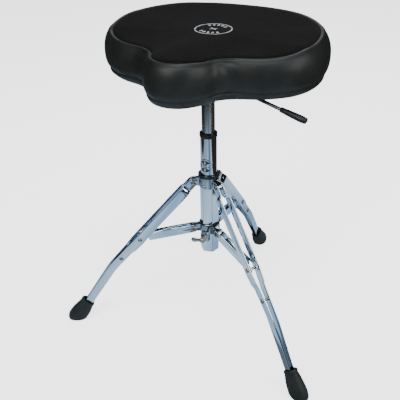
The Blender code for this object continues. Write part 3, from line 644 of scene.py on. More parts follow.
def deliver(obj: bpy.types.Object, body: str, finish: Finish, replaces: Sequence[str] = (),
            ) -> bpy.types.Object:
    """Dress a finished piece and put it on its body.

    Args:
        obj: The piece.
        body: The body that it rides on.
        finish: Its finish.
        replaces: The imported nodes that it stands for.

    Returns:
        The piece.
    """
    obj.data.materials.clear()
    obj.data.materials.append(finish.material())
    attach(obj, body)
    if replaces:
        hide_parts(*replaces)
    LOG.info("%s rides on %s: %d faces, %s", obj.name, body, len(obj.data.polygons), finish.name)
    return obj


def dress(node: str, finish: Finish) -> None:
    """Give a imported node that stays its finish.

    Args:
        node: The node.
        finish: Its finish.
    """
    mesh = frame["nodes"][node].data
    mesh.materials.clear()
    mesh.materials.append(finish.material())
    LOG.info("%s is kept: %s", node, finish.name)


# ---------------------------------------------------------------- geometry nodes
@dataclass
class Placer:
    """A geometry node tree that sets an item on every point of a mesh.

    The mesh carries two point attributes: "way", the direction that the item's Z takes, and "along",
    the direction that its X takes.
    """

    name: str = "place_items"
    tree: Optional[bpy.types.NodeTree] = field(default=None, init=False)

    def __post_init__(self) -> None:
        """Build the tree."""
        tree = bpy.data.node_groups.new(self.name, "GeometryNodeTree")
        for name, kind, value in (("Geometry", "Geometry", None), ("Item", "Object", None),
                                  ("Size", "Float", 1.0), ("Unevenness", "Float", 0.0), ("Seed", "Int", 7),
                                  ("Material", "Material", None)):
            socket = tree.interface.new_socket(name, in_out="INPUT", socket_type=f"NodeSocket{kind}")
            if value is not None:
                socket.default_value = value
        tree.interface.new_socket("Geometry", in_out="OUTPUT", socket_type="NodeSocketGeometry")
        given = add_node(tree, "NodeGroupInput", {}).outputs
        item = add_node(tree, "GeometryNodeObjectInfo", {"Object": given["Item"]})
        place = add_node(tree, "GeometryNodeInstanceOnPoints", {
            "Points": given["Geometry"], "Instance": item.outputs["Geometry"],
            "Rotation": self._rotation(tree), "Scale": self._scale(tree, given)})
        realize = add_node(tree, "GeometryNodeRealizeInstances", {"Geometry": place.outputs["Instances"]})
        paint = add_node(tree, "GeometryNodeSetMaterial", {
            "Geometry": realize.outputs["Geometry"], "Material": given["Material"]})
        add_node(tree, "NodeGroupOutput", {"Geometry": paint.outputs["Geometry"]})
        self.tree = tree

    @staticmethod
    def _rotation(tree: bpy.types.NodeTree) -> bpy.types.NodeSocket:
        """Turn X to "along" and then Z to "way".

        Args:
            tree: The tree.

        Returns:
            The rotation.
        """
        turn: dict[str, bpy.types.NodeSocket] = {}
        for name, axis, pivot in (("along", "X", "AUTO"), ("way", "Z", "X")):
            direction = add_node(tree, "GeometryNodeInputNamedAttribute", {"Name": name},
                                 data_type="FLOAT_VECTOR")
            align = add_node(tree, "FunctionNodeAlignRotationToVector",
                             {"Vector": direction.outputs["Attribute"], **turn}, axis=axis, pivot_axis=pivot)
            turn["Rotation"] = align.outputs["Rotation"]
        return turn["Rotation"]

    @staticmethod
    def _scale(tree: bpy.types.NodeTree, given: Mapping[str, bpy.types.NodeSocket]) -> bpy.types.NodeSocket:
        """Size of each item, a little uneven.

        Args:
            tree: The tree.
            given: The group's inputs.

        Returns:
            The scale.
        """
        uneven = add_node(tree, "FunctionNodeRandomValue", {"Seed": given["Seed"]}, data_type="FLOAT")
        ends = [socket for socket in uneven.inputs if socket.type == "VALUE"]
        for end, operation in zip(ends, ("SUBTRACT", "ADD")):
            share = add_node(tree, "ShaderNodeMath", {0: 1.0, 1: given["Unevenness"]}, operation=operation)
            tree.links.new(share.outputs["Value"], end)
        result = next(socket for socket in uneven.outputs if socket.type == "VALUE")
        size = add_node(tree, "ShaderNodeMath", {0: result, 1: given["Size"]}, operation="MULTIPLY")
        return size.outputs["Value"]

    def place(self, name: str, item: bpy.types.Object, spots: Sequence[Spot],
              finish: Finish, uneven: float = 0.0, seed: int = 7) -> bpy.types.Object:
        """Set an item on spots and turn the result into a plain mesh.

        Args:
            name: The new object's name.
            item: What is repeated, which is removed afterwards.
            spots: (place, way, along) of each copy.
            finish: The finish.
            uneven: How much the copies differ in size.
            seed: Seed of the unevenness.

        Returns:
            The plain mesh object.
        """
        mesh = bpy.data.meshes.new(name)
        mesh.from_pydata([tuple(spot[0]) for spot in spots], [], [])
        for column, label in ((1, "way"), (2, "along")):
            data = mesh.attributes.new(label, "FLOAT_VECTOR", "POINT").data
            data.foreach_set("vector", [part for spot in spots for part in spot[column]])
        obj = bpy.data.objects.new(name, mesh)
        bpy.context.scene.collection.objects.link(obj)
        modifier = obj.modifiers.new("places", "NODES")
        modifier.node_group = self.tree
        values = {"Item": item, "Size": 1.0, "Unevenness": uneven, "Seed": seed,
                  "Material": finish.material()}
        for socket in self.tree.interface.items_tree:
            if socket.in_out == "INPUT" and socket.name in values:
                modifier[socket.identifier] = values[socket.name]
        settled(obj)
        for label in ("way", "along"):
            attribute = obj.data.attributes.get(label)
            if attribute is not None:
                obj.data.attributes.remove(attribute)
        bpy.data.objects.remove(item, do_unlink=True)
        return obj


def capsule(length: float, radius: float, sides: int = 6, flat: float = 0.7) -> bpy.types.Object:
    """A short thread along X, rounded at its ends.

    Args:
        length: Length.
        radius: Radius.
        sides: Faces round.
        flat: Height as a share of the width.

    Returns:
        The thread, to be repeated.
    """
    swells = ((-0.5, 0.35), (-0.42, 0.85), (0.0, 1.0), (0.42, 0.85), (0.5, 0.35))
    return new_object("thread", loft([
        [Vector((share * length, y, z)) for y, z in oval(radius * swell, radius * swell * flat, sides)]
        for share, swell in swells]))


def joined(name: str, objects: Sequence[bpy.types.Object]) -> bpy.types.Object:
    """Join several objects into one mesh.

    Args:
        name: The new object's name.
        objects: What is joined, which is removed.

    Returns:
        The joined object.
    """
    form = bmesh.new()
    for obj in objects:
        form.from_mesh(obj.data)
        bpy.data.objects.remove(obj, do_unlink=True)
    mesh = bpy.data.meshes.new(name)
    form.to_mesh(mesh)
    form.free()
    obj = bpy.data.objects.new(name, mesh)
    bpy.context.scene.collection.objects.link(obj)
    soften(mesh)
    return obj


def riveted(name: str, body: str, nodes: Sequence[str], pins: Sequence[tuple[Matrix, float]],
            dome: Sequence[Point2], placer: Placer) -> None:
    """Make riveted pins: a shank each, and a domed head on both ends.

    Args:
        name: Name of the piece.
        body: The body that it rides on.
        nodes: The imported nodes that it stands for.
        pins: Each pin's frame, which lies along Y, and half its length to the heads.
        dome: (radius, height) profile of a head.
        placer: The tree that sets the heads.
    """
    spots = []
    shanks = []
    for place, half in pins:
        turn = place.to_3x3()
        for sign in (-1, 1):
            spots.append((place @ Vector((0, half * sign, 0)), turn @ Vector((0, sign, 0)),
                          turn @ Vector((1, 0, 0))))
        profile = ((0, -half), (SHANK, -half), (SHANK, half), (0, half))
        shanks.append(turned("shank", profile, place @ Matrix.Rotation(RIGHT_ANGLE, 4, "X"), 24))
    head = turned("head", ((0.0, 0.0), *dome), Matrix.Identity(4), 32)
    heads = placer.place("heads", head, spots, RIVET_STEEL)
    deliver(joined(name, [heads, *shanks]), body, RIVET_STEEL, nodes)


# ---------------------------------------------------------------- column
@dataclass
class Column:
    """The two tubes, the hub, the bushing, the badge and the gas spring's foot."""

    flats: float = 0.0366
    hex_wall: float = 0.0020
    hex_corner: float = 0.0025
    tube_wall: float = 0.0020
    edge: float = 0.0005
    badge_radius: float = 0.0165
    badge_height: float = 0.4110
    rim_outer: float = 0.0160
    rim_inner: float = 0.0138
    petal_reach: float = 0.0082
    collar_top: float = 0.2622
    screw_tip: float = 0.0202
    screw_seat: float = 0.0233
    # (radius, height over its seat) of a cap screw's head with its socket
    screw_head: tuple[Point2, ...] = (
        (0.0030, 0.0), (0.0040, 0.0), (0.0043, 0.0006), (0.0041, 0.0018), (0.0033, 0.0028),
        (0.0024, 0.0032), (0.0021, 0.0031), (0.0019, 0.0014), (0.0, 0.0012))
    # (body, bore, outer radius, radius where the skirt starts, height, depth of the skirt) of each dark ring
    # that paints the shadow in a gap
    shadow_ring_sizes: tuple[tuple[str, float, float, float, float, float], ...] = (
        ("column", 0.0181, 0.0237, 0.0232, 0.0030, 0.0024),
        ("collar", 0.0214, 0.0234, 0.0231, 0.0012, 0.0012))

    def hexagon(self, flats: float, corner: float, height: float, steps: int = 6) -> Ring:
        """Outline of the hexagonal tube.

        Args:
            flats: Width across flats.
            corner: Radius of the corners.
            height: Height of the ring.
            steps: Steps round each corner.

        Returns:
            The ring, in the column's frame.
        """
        reach = (flats / 2 - corner) / math.cos(math.radians(30))
        ring = []
        for k in range(6):
            middle = math.radians(HEX_TURN + 60 * k)
            centre = Vector((reach * math.cos(middle), reach * math.sin(middle), height))
            for i in range(steps + 1):
                a = middle + math.radians(-30 + 60 * i / steps)
                ring.append(centre + Vector((corner * math.cos(a), corner * math.sin(a), 0.0)))
        return ring

    def hex_tube(self) -> None:
        """Hexagonal tube, open at both ends, its cut edges broken."""
        low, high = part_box("hex_tube")
        rings = []
        sections = ((0.0, low.z), (1.0, low.z + self.edge), (1.0, high.z - self.edge), (0.0, high.z))
        for out, height in sections:
            shrink = 2 * self.edge * (1.0 - out)
            rings.append(self.hexagon(self.flats - shrink, self.hex_corner, height))
        inner = self.flats - 2 * self.hex_wall
        for out, height in reversed(sections):
            grow = 2 * self.edge * (1.0 - out) * 0.5
            rings.append(self.hexagon(inner + grow, self.hex_corner - self.hex_wall * 0.7, height))
        tube = new_object("hex_tube_plated", loft(rings, closed=True), turned_frame(0.0))
        deliver(tube, "column", CHROME, ["hex_tube"])

    @staticmethod
    def half_width(node: str) -> float:
        """Half the width of a round node."""
        low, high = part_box(node)
        return (high.x - low.x) / 2

    def round_tube(self) -> None:
        """Round tube above the hub."""
        low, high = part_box("round_tube")
        outer = self.half_width("round_tube")
        inner = outer - self.tube_wall
        edge = self.edge
        profile = ((inner, low.z), (outer - edge, low.z), (outer, low.z + edge), (outer, high.z - edge),
                   (outer - edge, high.z), (inner, high.z))
        tube = turned("round_tube_plated", profile, turned_frame(0.0), 96, wall=True)
        deliver(tube, "column", CHROME, ["round_tube"])

    def bushing(self) -> None:
        """Plastic guide: a sleeve in the tube, a flange with a rolled edge and a lip at its bore."""
        low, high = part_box("tube_bushing")
        flange = self.half_width("tube_bushing")
        bore = self.half_width("gas_cylinder") + GAP
        sleeve = self.half_width("round_tube") - self.tube_wall - GAP
        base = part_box("round_tube")[1].z + GAP
        profile = [(bore, low.z), (sleeve, low.z), (sleeve, base), (flange - 0.0006, base),
                   (flange, base + 0.0006), (flange, base + 0.0034), (flange - 0.0005, base + 0.0040),
                   (flange - 0.0005, base + 0.0046), (flange, base + 0.0052), (flange, high.z - 0.0022)]
        profile += [(flange - 0.0020 + 0.0020 * math.cos(a), high.z - 0.0020 + 0.0020 * math.sin(a))
                    for a in (math.radians(15 * k) for k in range(1, 7))]
        profile += [(bore + 0.0022, high.z), (bore + 0.0008, high.z - 0.0006), (bore, high.z - 0.0016)]
        obj = turned("tube_bushing_moulded", profile, turned_frame(0.0), 80, wall=True)
        deliver(obj, "column", PLASTIC, ["tube_bushing"])

    def hub(self) -> None:
        """Cast hub, its edges rounded, and the cap screws that clamp it."""
        deliver(worked_copy("hub_casting", "hub", 0.0007), "column", CAST_CHROME, ["hub"])
        for index in range(LEG_COUNT):
            node = f"hub_screw_{index + 1}"
            low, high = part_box(node)
            profile = [(0.0, self.screw_tip), (self.screw_head[0][0], self.screw_tip)]
            profile += [(radius, self.screw_seat + rise) for radius, rise in self.screw_head]
            place = along_x(gap_frame(index), (low.z + high.z) / 2)
            deliver(turned(f"{node}_domed", profile, place, 32), "column", ZINC, [node])

    def painted_shadow_rings(self) -> None:
        """Dark rings on the hub round the tube and on the collar round the hexagonal tube: painted shadow
        where the gaps between these parts are.
        """
        feet = {"column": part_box("hub")[1].z + 0.0002, "collar": self.collar_top}
        for body, inner, outer, side, rise, skirt in self.shadow_ring_sizes:
            foot = feet[body]
            top = foot + rise
            edge = min(0.0008, rise / 3)
            profile = ((inner, foot), (side, foot), (side, foot - skirt), (outer, foot - skirt),
                       (outer, top - edge), (outer - edge, top), (inner + edge, top), (inner, top - edge))
            # painted shadow: each ring is dark plastic only so that the gap at the hub's and the collar's
            # top reads dark
            deliver(turned(f"{body}_seal", profile, turned_frame(0.0), 72, wall=True), body, PLASTIC)

    def wrapped(self, name: str, outline: Sequence[Point2], foot: float, top: float) -> bpy.types.Object:
        """Wrap a flat outline round the tube, facing the gap between legs.

        Args:
            name: Object's name.
            outline: Points about the badge's middle: along the tube's girth and up.
            foot: Radius of its underside.
            top: Radius of its face.

        Returns:
            The wrapped piece.
        """
        form = bmesh.new()
        count = len(outline)
        middle = (sum(u for u, _ in outline) / count, sum(v for _, v in outline) / count)
        rows = []
        for radius in (foot, top):
            row = [form.verts.new((radius * math.cos(u / top), radius * math.sin(u / top),
                                   self.badge_height + v)) for u, v in (*outline, middle)]
            for i in range(count):
                form.faces.new((row[i], row[(i + 1) % count], row[count]))
            rows.append(row)
        for i in range(count):
            j = (i + 1) % count
            form.faces.new((rows[0][i], rows[0][j], rows[1][j], rows[1][i]))
        return new_object(name, form, gap_frame(0))

    def petal(self, middle: float) -> list[Point2]:
        """Outline of a petal of the badge.

        Args:
            middle: Its direction from the badge's middle.

        Returns:
            The outline.
        """
        c, s = math.cos(middle), math.sin(middle)
        return [((self.petal_reach + u) * c - v * s, (self.petal_reach + u) * s + v * c)
                for u, v in oval(0.0040, 0.0019, 14)]

    def badge(self) -> None:
        """Badge: a dark disc with a rim, a ring of petals and a boss raised on it."""
        tube = self.half_width("round_tube")
        foot = tube + GAP
        face = tube + 0.0010
        top = face + 0.0005
        steps = 64
        span = 4
        disc = oval(self.badge_radius, self.badge_radius, steps)
        deliver(self.wrapped("badge_ground", disc, foot, face), "column", BADGE_DARK, ["column_badge"])
        shapes = []
        for start in range(0, steps, span):
            arc = turns(span + 1, start, steps)
            outer = [(self.rim_outer * math.cos(a), self.rim_outer * math.sin(a)) for a in arc]
            inner = [(self.rim_inner * math.cos(a), self.rim_inner * math.sin(a)) for a in reversed(arc)]
            shapes.append(("rim", outer + inner, top))
        shapes += [("petal", self.petal(math.radians(60 * k + 30)), top) for k in range(6)]
        shapes.append(("boss", oval(0.0024, 0.0024, 18), top + 0.0002))
        reliefs = [self.wrapped(name, outline, face - 0.0001, high) for name, outline, high in shapes]
        deliver(joined("badge_relief", reliefs), "column", CHROME)

    def build(self) -> None:
        """Make the column's pieces."""
        self.hex_tube()
        self.round_tube()
        self.bushing()
        self.hub()
        self.badge()
        self.painted_shadow_rings()
        dress("base_plate", DARK_STEEL)
        dress("thrust_bearing", ZINC)


# ---------------------------------------------------------------- legs
@dataclass
class Legs:
    """Three legs of two bent plates, a rubber foot and three rivets each."""

    hub_pivot: Point2 = (0.0360, 0.3670)
    strut_pivot: Point2 = (0.1596, 0.2280)
    kink: Point2 = (0.2287, 0.1500)
    ankle: Point2 = (0.2903, 0.0560)
    reach: float = 0.0400
    plate: float = 0.0026
    end: float = 0.0100
    near: float = 0.0063
    rivet_place: float = 0.2567
    boot_start: float = 0.0085
    boot_lean: float = 5.0
    tread: float = 0.0012
    rib_rows: int = 7
    bend: float = 0.0140
    # (radius, height) profile of a rivet's head, with a dimple
    dome: tuple[Point2, ...] = (
        (0.0048, 0.0000), (0.0050, 0.0004), (0.0048, 0.0011), (0.0041, 0.0018), (0.0030, 0.0022),
        (0.0022, 0.0022), (0.0018, 0.0018), (0.0012, 0.0013), (0.0, 0.0011))
    # (distance along the leg, half depth, mid-plane off the leg's plane, shift to the outer side)
    stations: tuple[tuple[float, float, float, float], ...] = (
        (0.0000, 0.0100, 0.0063, 0.0), (0.0185, 0.0100, 0.0063, 0.0), (0.0275, 0.0104, 0.0120, 0.0),
        (0.1400, 0.0104, 0.0120, 0.0), (0.1900, 0.0112, 0.0120, -0.0008),
        (0.2130, 0.0112, 0.0104, -0.0008), (0.2310, 0.0099, 0.0076, 0.0), (0.2560, 0.0097, 0.0070, 0.0),
        (0.2750, 0.0097, 0.0066, 0.0), (0.3020, 0.0097, 0.0062, 0.0), (0.4009, 0.0096, 0.0046, 0.0))
    # (distance from the lip, half width in the leg's plane, half width across it, shift outwards)
    boot: tuple[tuple[float, float, float, float], ...] = (
        (0.0000, 0.0152, 0.0112, 0.0020), (0.0008, 0.0166, 0.0126, 0.0020),
        (0.0040, 0.0172, 0.0132, 0.0020), (0.0058, 0.0168, 0.0128, 0.0018),
        (0.0070, 0.0164, 0.0124, 0.0016), (0.0140, 0.0176, 0.0140, 0.0010),
        (0.0260, 0.0196, 0.0160, 0.0000), (0.0400, 0.0210, 0.0174, 0.0000),
        (0.0530, 0.0212, 0.0176, 0.0000), (0.0640, 0.0192, 0.0156, 0.0000),
        (0.0705, 0.0140, 0.0115, 0.0000), (0.0730, 0.0060, 0.0050, 0.0000))
    # the same, for the socket that the plates stand in
    socket: tuple[tuple[float, float, float, float], ...] = (
        (0.0002, 0.0136, 0.0094, 0.0018), (0.0012, 0.0126, 0.0080, 0.0010),
        (0.0090, 0.0118, 0.0066, 0.0000))

    def line(self, along: float) -> tuple[Vector, Vector]:
        """Point on the leg's middle line, and its direction there.

        Args:
            along: Distance from the hub's pivot.

        Returns:
            The point and the direction, in the leg's plane.
        """
        start, kink, ankle = Vector(self.hub_pivot), Vector(self.kink), Vector(self.ankle)
        run = (kink - start).length
        upper = (kink - start).normalized()
        lower = (ankle - kink).normalized()
        if along <= run - self.bend:
            return start + upper * along, upper
        if along >= run + self.bend:
            return kink + lower * (along - run), lower
        t = (along - run + self.bend) / (2 * self.bend)
        first, last = kink - upper * self.bend, kink + lower * self.bend
        point = first * (1 - t) ** 2 + kink * (2 * t * (1 - t)) + last * t ** 2
        return point, upper.lerp(lower, t).normalized()

    def plate_rings(self, sign: float) -> list[Ring]:
        """Rings of a plate, from its round end at the hub down into the foot.

        Args:
            sign: 1 for the left plate and -1 for the right one.

        Returns:
            The rings, in the leg's frame.
        """
        run = (Vector(self.kink) - Vector(self.hub_pivot)).length
        length = run + (Vector(self.ankle) - Vector(self.kink)).length
        rows = []
        for k in range(7):
            a = math.radians(4 + 86 * k / 7)
            rows.append((-self.end * math.cos(a), self.end * math.sin(a), self.near, 0.0))
        count = 120
        for k in range(count + 1):
            along = (length + self.reach) * k / count
            rows.append((along, *smooth_value(self.stations, along)))
        rings = []
        for along, half, side, shift in rows:
            middle, direction = self.line(along)
            across = Vector((-direction.y, direction.x))
            ring = []
            for u, v in rounded_box_ring(half, self.plate / 2, 0.0009, 3):
                flat = middle + across * (u + shift)
                ring.append(Vector((flat.x, side * sign + v, flat.y)))
            rings.append(ring)
        return rings

    def pin_spots(self) -> list[tuple[Point2, float]]:
        """Places of the three rivets in the leg's plane, each with half its length to the heads."""
        start = Vector(self.hub_pivot)
        low = start + (Vector(self.kink) - start).normalized() * self.rivet_place
        outer = self.plate / 2 + 0.0002
        return [(self.hub_pivot, self.near + outer), (self.strut_pivot, 0.0120 + outer),
                ((low.x, low.y), 0.0070 + outer)]

    def rivets(self, body: str, matrix: Matrix, placer: Placer) -> None:
        """Rivets of one leg.

        Args:
            body: The leg.
            matrix: The leg's frame.
            placer: The tree that sets repeated items.
        """
        pins = [(matrix @ Matrix.Translation((x, 0, z)), half) for (x, z), half in self.pin_spots()]
        nodes = [f"{body}_{name}" for name in ("hub_pin", "strut_pin", "rivet")]
        riveted(f"{body}_rivets", body, nodes, pins, self.dome, placer)

    def boot_frame(self) -> Matrix:
        """Frame of a foot in its leg's frame: its lip at the origin, -Z down the foot."""
        direction = (Vector(self.ankle) - Vector(self.kink)).normalized()
        tilt = math.atan2(direction.x, -direction.y) + math.radians(self.boot_lean)
        top = Vector(self.ankle) + direction * self.boot_start
        return Matrix.Translation((top.x, 0, top.y)) @ Matrix.Rotation(-tilt, 4, "Y")

    def foot(self, index: int, matrix: Matrix, placer: Placer) -> None:
        """Rubber foot with a rolled lip, a socket for the plates and a ribbed sole.

        Args:
            index: The leg's number, from nought.
            matrix: The leg's frame.
            placer: The tree that sets repeated items.
        """
        outer = [self.squared(*row) for row in catmull([Vector(row) for row in self.boot], 4, closed=False)]
        socket = [self.squared(*row) for row in self.socket]
        form = loft(list(reversed(socket)) + outer)
        bmesh.ops.transform(form, matrix=self.boot_frame(), verts=form.verts)
        geometry = list(form.verts) + list(form.edges) + list(form.faces)
        cut = bmesh.ops.bisect_plane(form, geom=geometry, plane_co=(0, 0, self.tread),
                                     plane_no=(0, 0, -1), clear_outer=True)
        rim = [edge for edge in cut["geom_cut"] if isinstance(edge, bmesh.types.BMEdge)]
        bmesh.ops.edgeloop_fill(form, edges=rim)
        sole = [edge.verts[0].co.x for edge in rim]
        low, high = min(sole), max(sole)
        boot = new_object("boot", form, matrix)
        outwards = matrix.to_3x3() @ Vector((1, 0, 0))
        spots = []
        for k in range(self.rib_rows):
            share = (k + 0.5) / self.rib_rows
            x = low + (high - low) * share
            width = math.sqrt(max(0.05, 1 - (2 * share - 1) ** 2))
            for side in (-1, 1):
                place = Vector((x, side * 0.0062 * width, self.tread / 2 + 0.0002))
                spots.append((matrix @ place, Vector((0, 0, 1)), outwards))
        half_x, half_y = (high - low) / self.rib_rows * 0.33, 0.0048
        ring = rounded_box_ring(half_x, half_y, min(half_x, half_y) * 0.6, 2)
        half_z = self.tread / 2 + 0.0002
        bar = new_object("bar", loft([[Vector((x, y, z)) for x, y in ring] for z in (-half_z, half_z)]))
        ribs = placer.place("ribs", bar, spots, RUBBER)
        node = f"foot_{index + 1}"
        deliver(joined(f"{node}_moulded", [boot, ribs]), f"leg_{index + 1}", RUBBER, [node])

    @staticmethod
    def squared(down: float, half: float, side: float, shift: float) -> Ring:
        """A level oval of points, a little squarer than an ellipse.

        Args:
            down: Depth under the lip.
            half: Half its length.
            side: Half its width.
            shift: How far it lies outwards.

        Returns:
            The ring, in the foot's frame.
        """
        ring = []
        for c, s in oval(1.0, 1.0, 64):
            ring.append(Vector((shift + half * math.copysign(abs(c) ** 0.8, c),
                                side * math.copysign(abs(s) ** 0.8, s), -down)))
        return ring

    def build(self, placer: Placer) -> None:
        """Make the three legs.

        Args:
            placer: The tree that sets repeated items.
        """
        for index in range(LEG_COUNT):
            matrix = leg_frame(index)
            body = f"leg_{index + 1}"
            for side, sign in (("left", 1.0), ("right", -1.0)):
                plate = new_object(f"{body}_plate_{side}_plated", loft(self.plate_rings(sign)), matrix)
                deliver(plate, body, CHROME, [f"{body}_plate_{side}"])
            self.rivets(body, matrix, placer)
            self.foot(index, matrix, placer)


# ---------------------------------------------------------------- collar and struts
@dataclass
class Collar:
    """The sliding collar, its wing bolt and the three struts."""

    pin_height: float = 0.2485
    pin_reach: float = 0.0370
    pin_half: float = 0.0086
    wing_turns: Point2 = (192.0, 52.0)
    wing_reach: float = 0.0392
    # (radius, height) profile of a pin's head, with a dimple
    dome: tuple[Point2, ...] = (
        (0.0044, 0.0000), (0.0046, 0.0003), (0.0043, 0.0008), (0.0034, 0.0013), (0.0022, 0.0014),
        (0.0014, 0.0010), (0.0, 0.0009))
    # (distance out, half width, half thickness) of a wing
    wing_sizes: tuple[tuple[float, float, float], ...] = (
        (0.000, 0.0042, 0.0026), (0.006, 0.0040, 0.0021), (0.012, 0.0047, 0.0020), (0.018, 0.0060, 0.0023),
        (0.023, 0.0060, 0.0024), (0.0265, 0.0040, 0.0019), (0.0277, 0.0016, 0.0009))
    # (radius, distance from the column's axis) profile of the bolt
    bolt: tuple[Point2, ...] = (
        (0.0, 0.0202), (0.0030, 0.0202), (0.0030, 0.0312), (0.0058, 0.0312), (0.0066, 0.0318),
        (0.0068, 0.0335), (0.0064, 0.0390), (0.0060, 0.0425), (0.0050, 0.0441), (0.0030, 0.0449),
        (0.0, 0.0451))

    def pins(self, placer: Placer) -> None:
        """The three pins that the struts hinge on.

        Args:
            placer: The tree that sets repeated items.
        """
        reach = Matrix.Translation((self.pin_reach, 0, self.pin_height))
        pins = [(leg_frame(index) @ reach, self.pin_half) for index in range(LEG_COUNT)]
        nodes = [f"collar_pin_{index + 1}" for index in range(LEG_COUNT)]
        riveted("collar_rivets", "collar", nodes, pins, self.dome, placer)

    def wing(self, turn: float, height: float) -> bpy.types.Object:
        """One wing of the bolt: a waisted tab with a round, thicker end.

        Args:
            turn: Its direction round the bolt, in degrees.
            height: Height of the bolt's axis.

        Returns:
            The wing.
        """
        rings = [[Vector((out, y, z)) for y, z in oval(half, thick, 20)]
                 for out, half, thick in catmull([Vector(row) for row in self.wing_sizes], 4, closed=False)]
        stand = Matrix(((0, 0, 1, self.wing_reach), (1, 0, 0, 0), (0, 1, 0, 0), (0, 0, 0, 1)))
        turned_in = Matrix.Rotation(math.radians(turn), 4, "Z")
        place = gap_frame(0) @ Matrix.Translation((0, 0, height)) @ stand @ turned_in
        return new_object("wing", loft(rings), place)

    def wing_bolt(self) -> None:
        """Cast wing bolt: shank, round head and two wings."""
        height = joint("wing_bolt_turn")["pos_m"][2]
        body = turned("body", self.bolt, along_x(gap_frame(0), height), 40)
        wings = [self.wing(turn, height) for turn in self.wing_turns]
        deliver(joined("wing_bolt_cast", [body, *wings]), "wing_bolt", WING_METAL, ["wing_bolt"])

    def build(self, placer: Placer) -> None:
        """Make the collar's pieces.

        Args:
            placer: The tree that sets repeated items.
        """
        deliver(worked_copy("collar_casting", "collar", 0.0006), "collar", CAST_CHROME, ["collar"])
        for index in range(LEG_COUNT):
            node = f"strut_{index + 1}"
            deliver(worked_copy(f"{node}_plated", node, 0.0006, 3), node, CHROME, [node])
        self.pins(placer)
        self.wing_bolt()


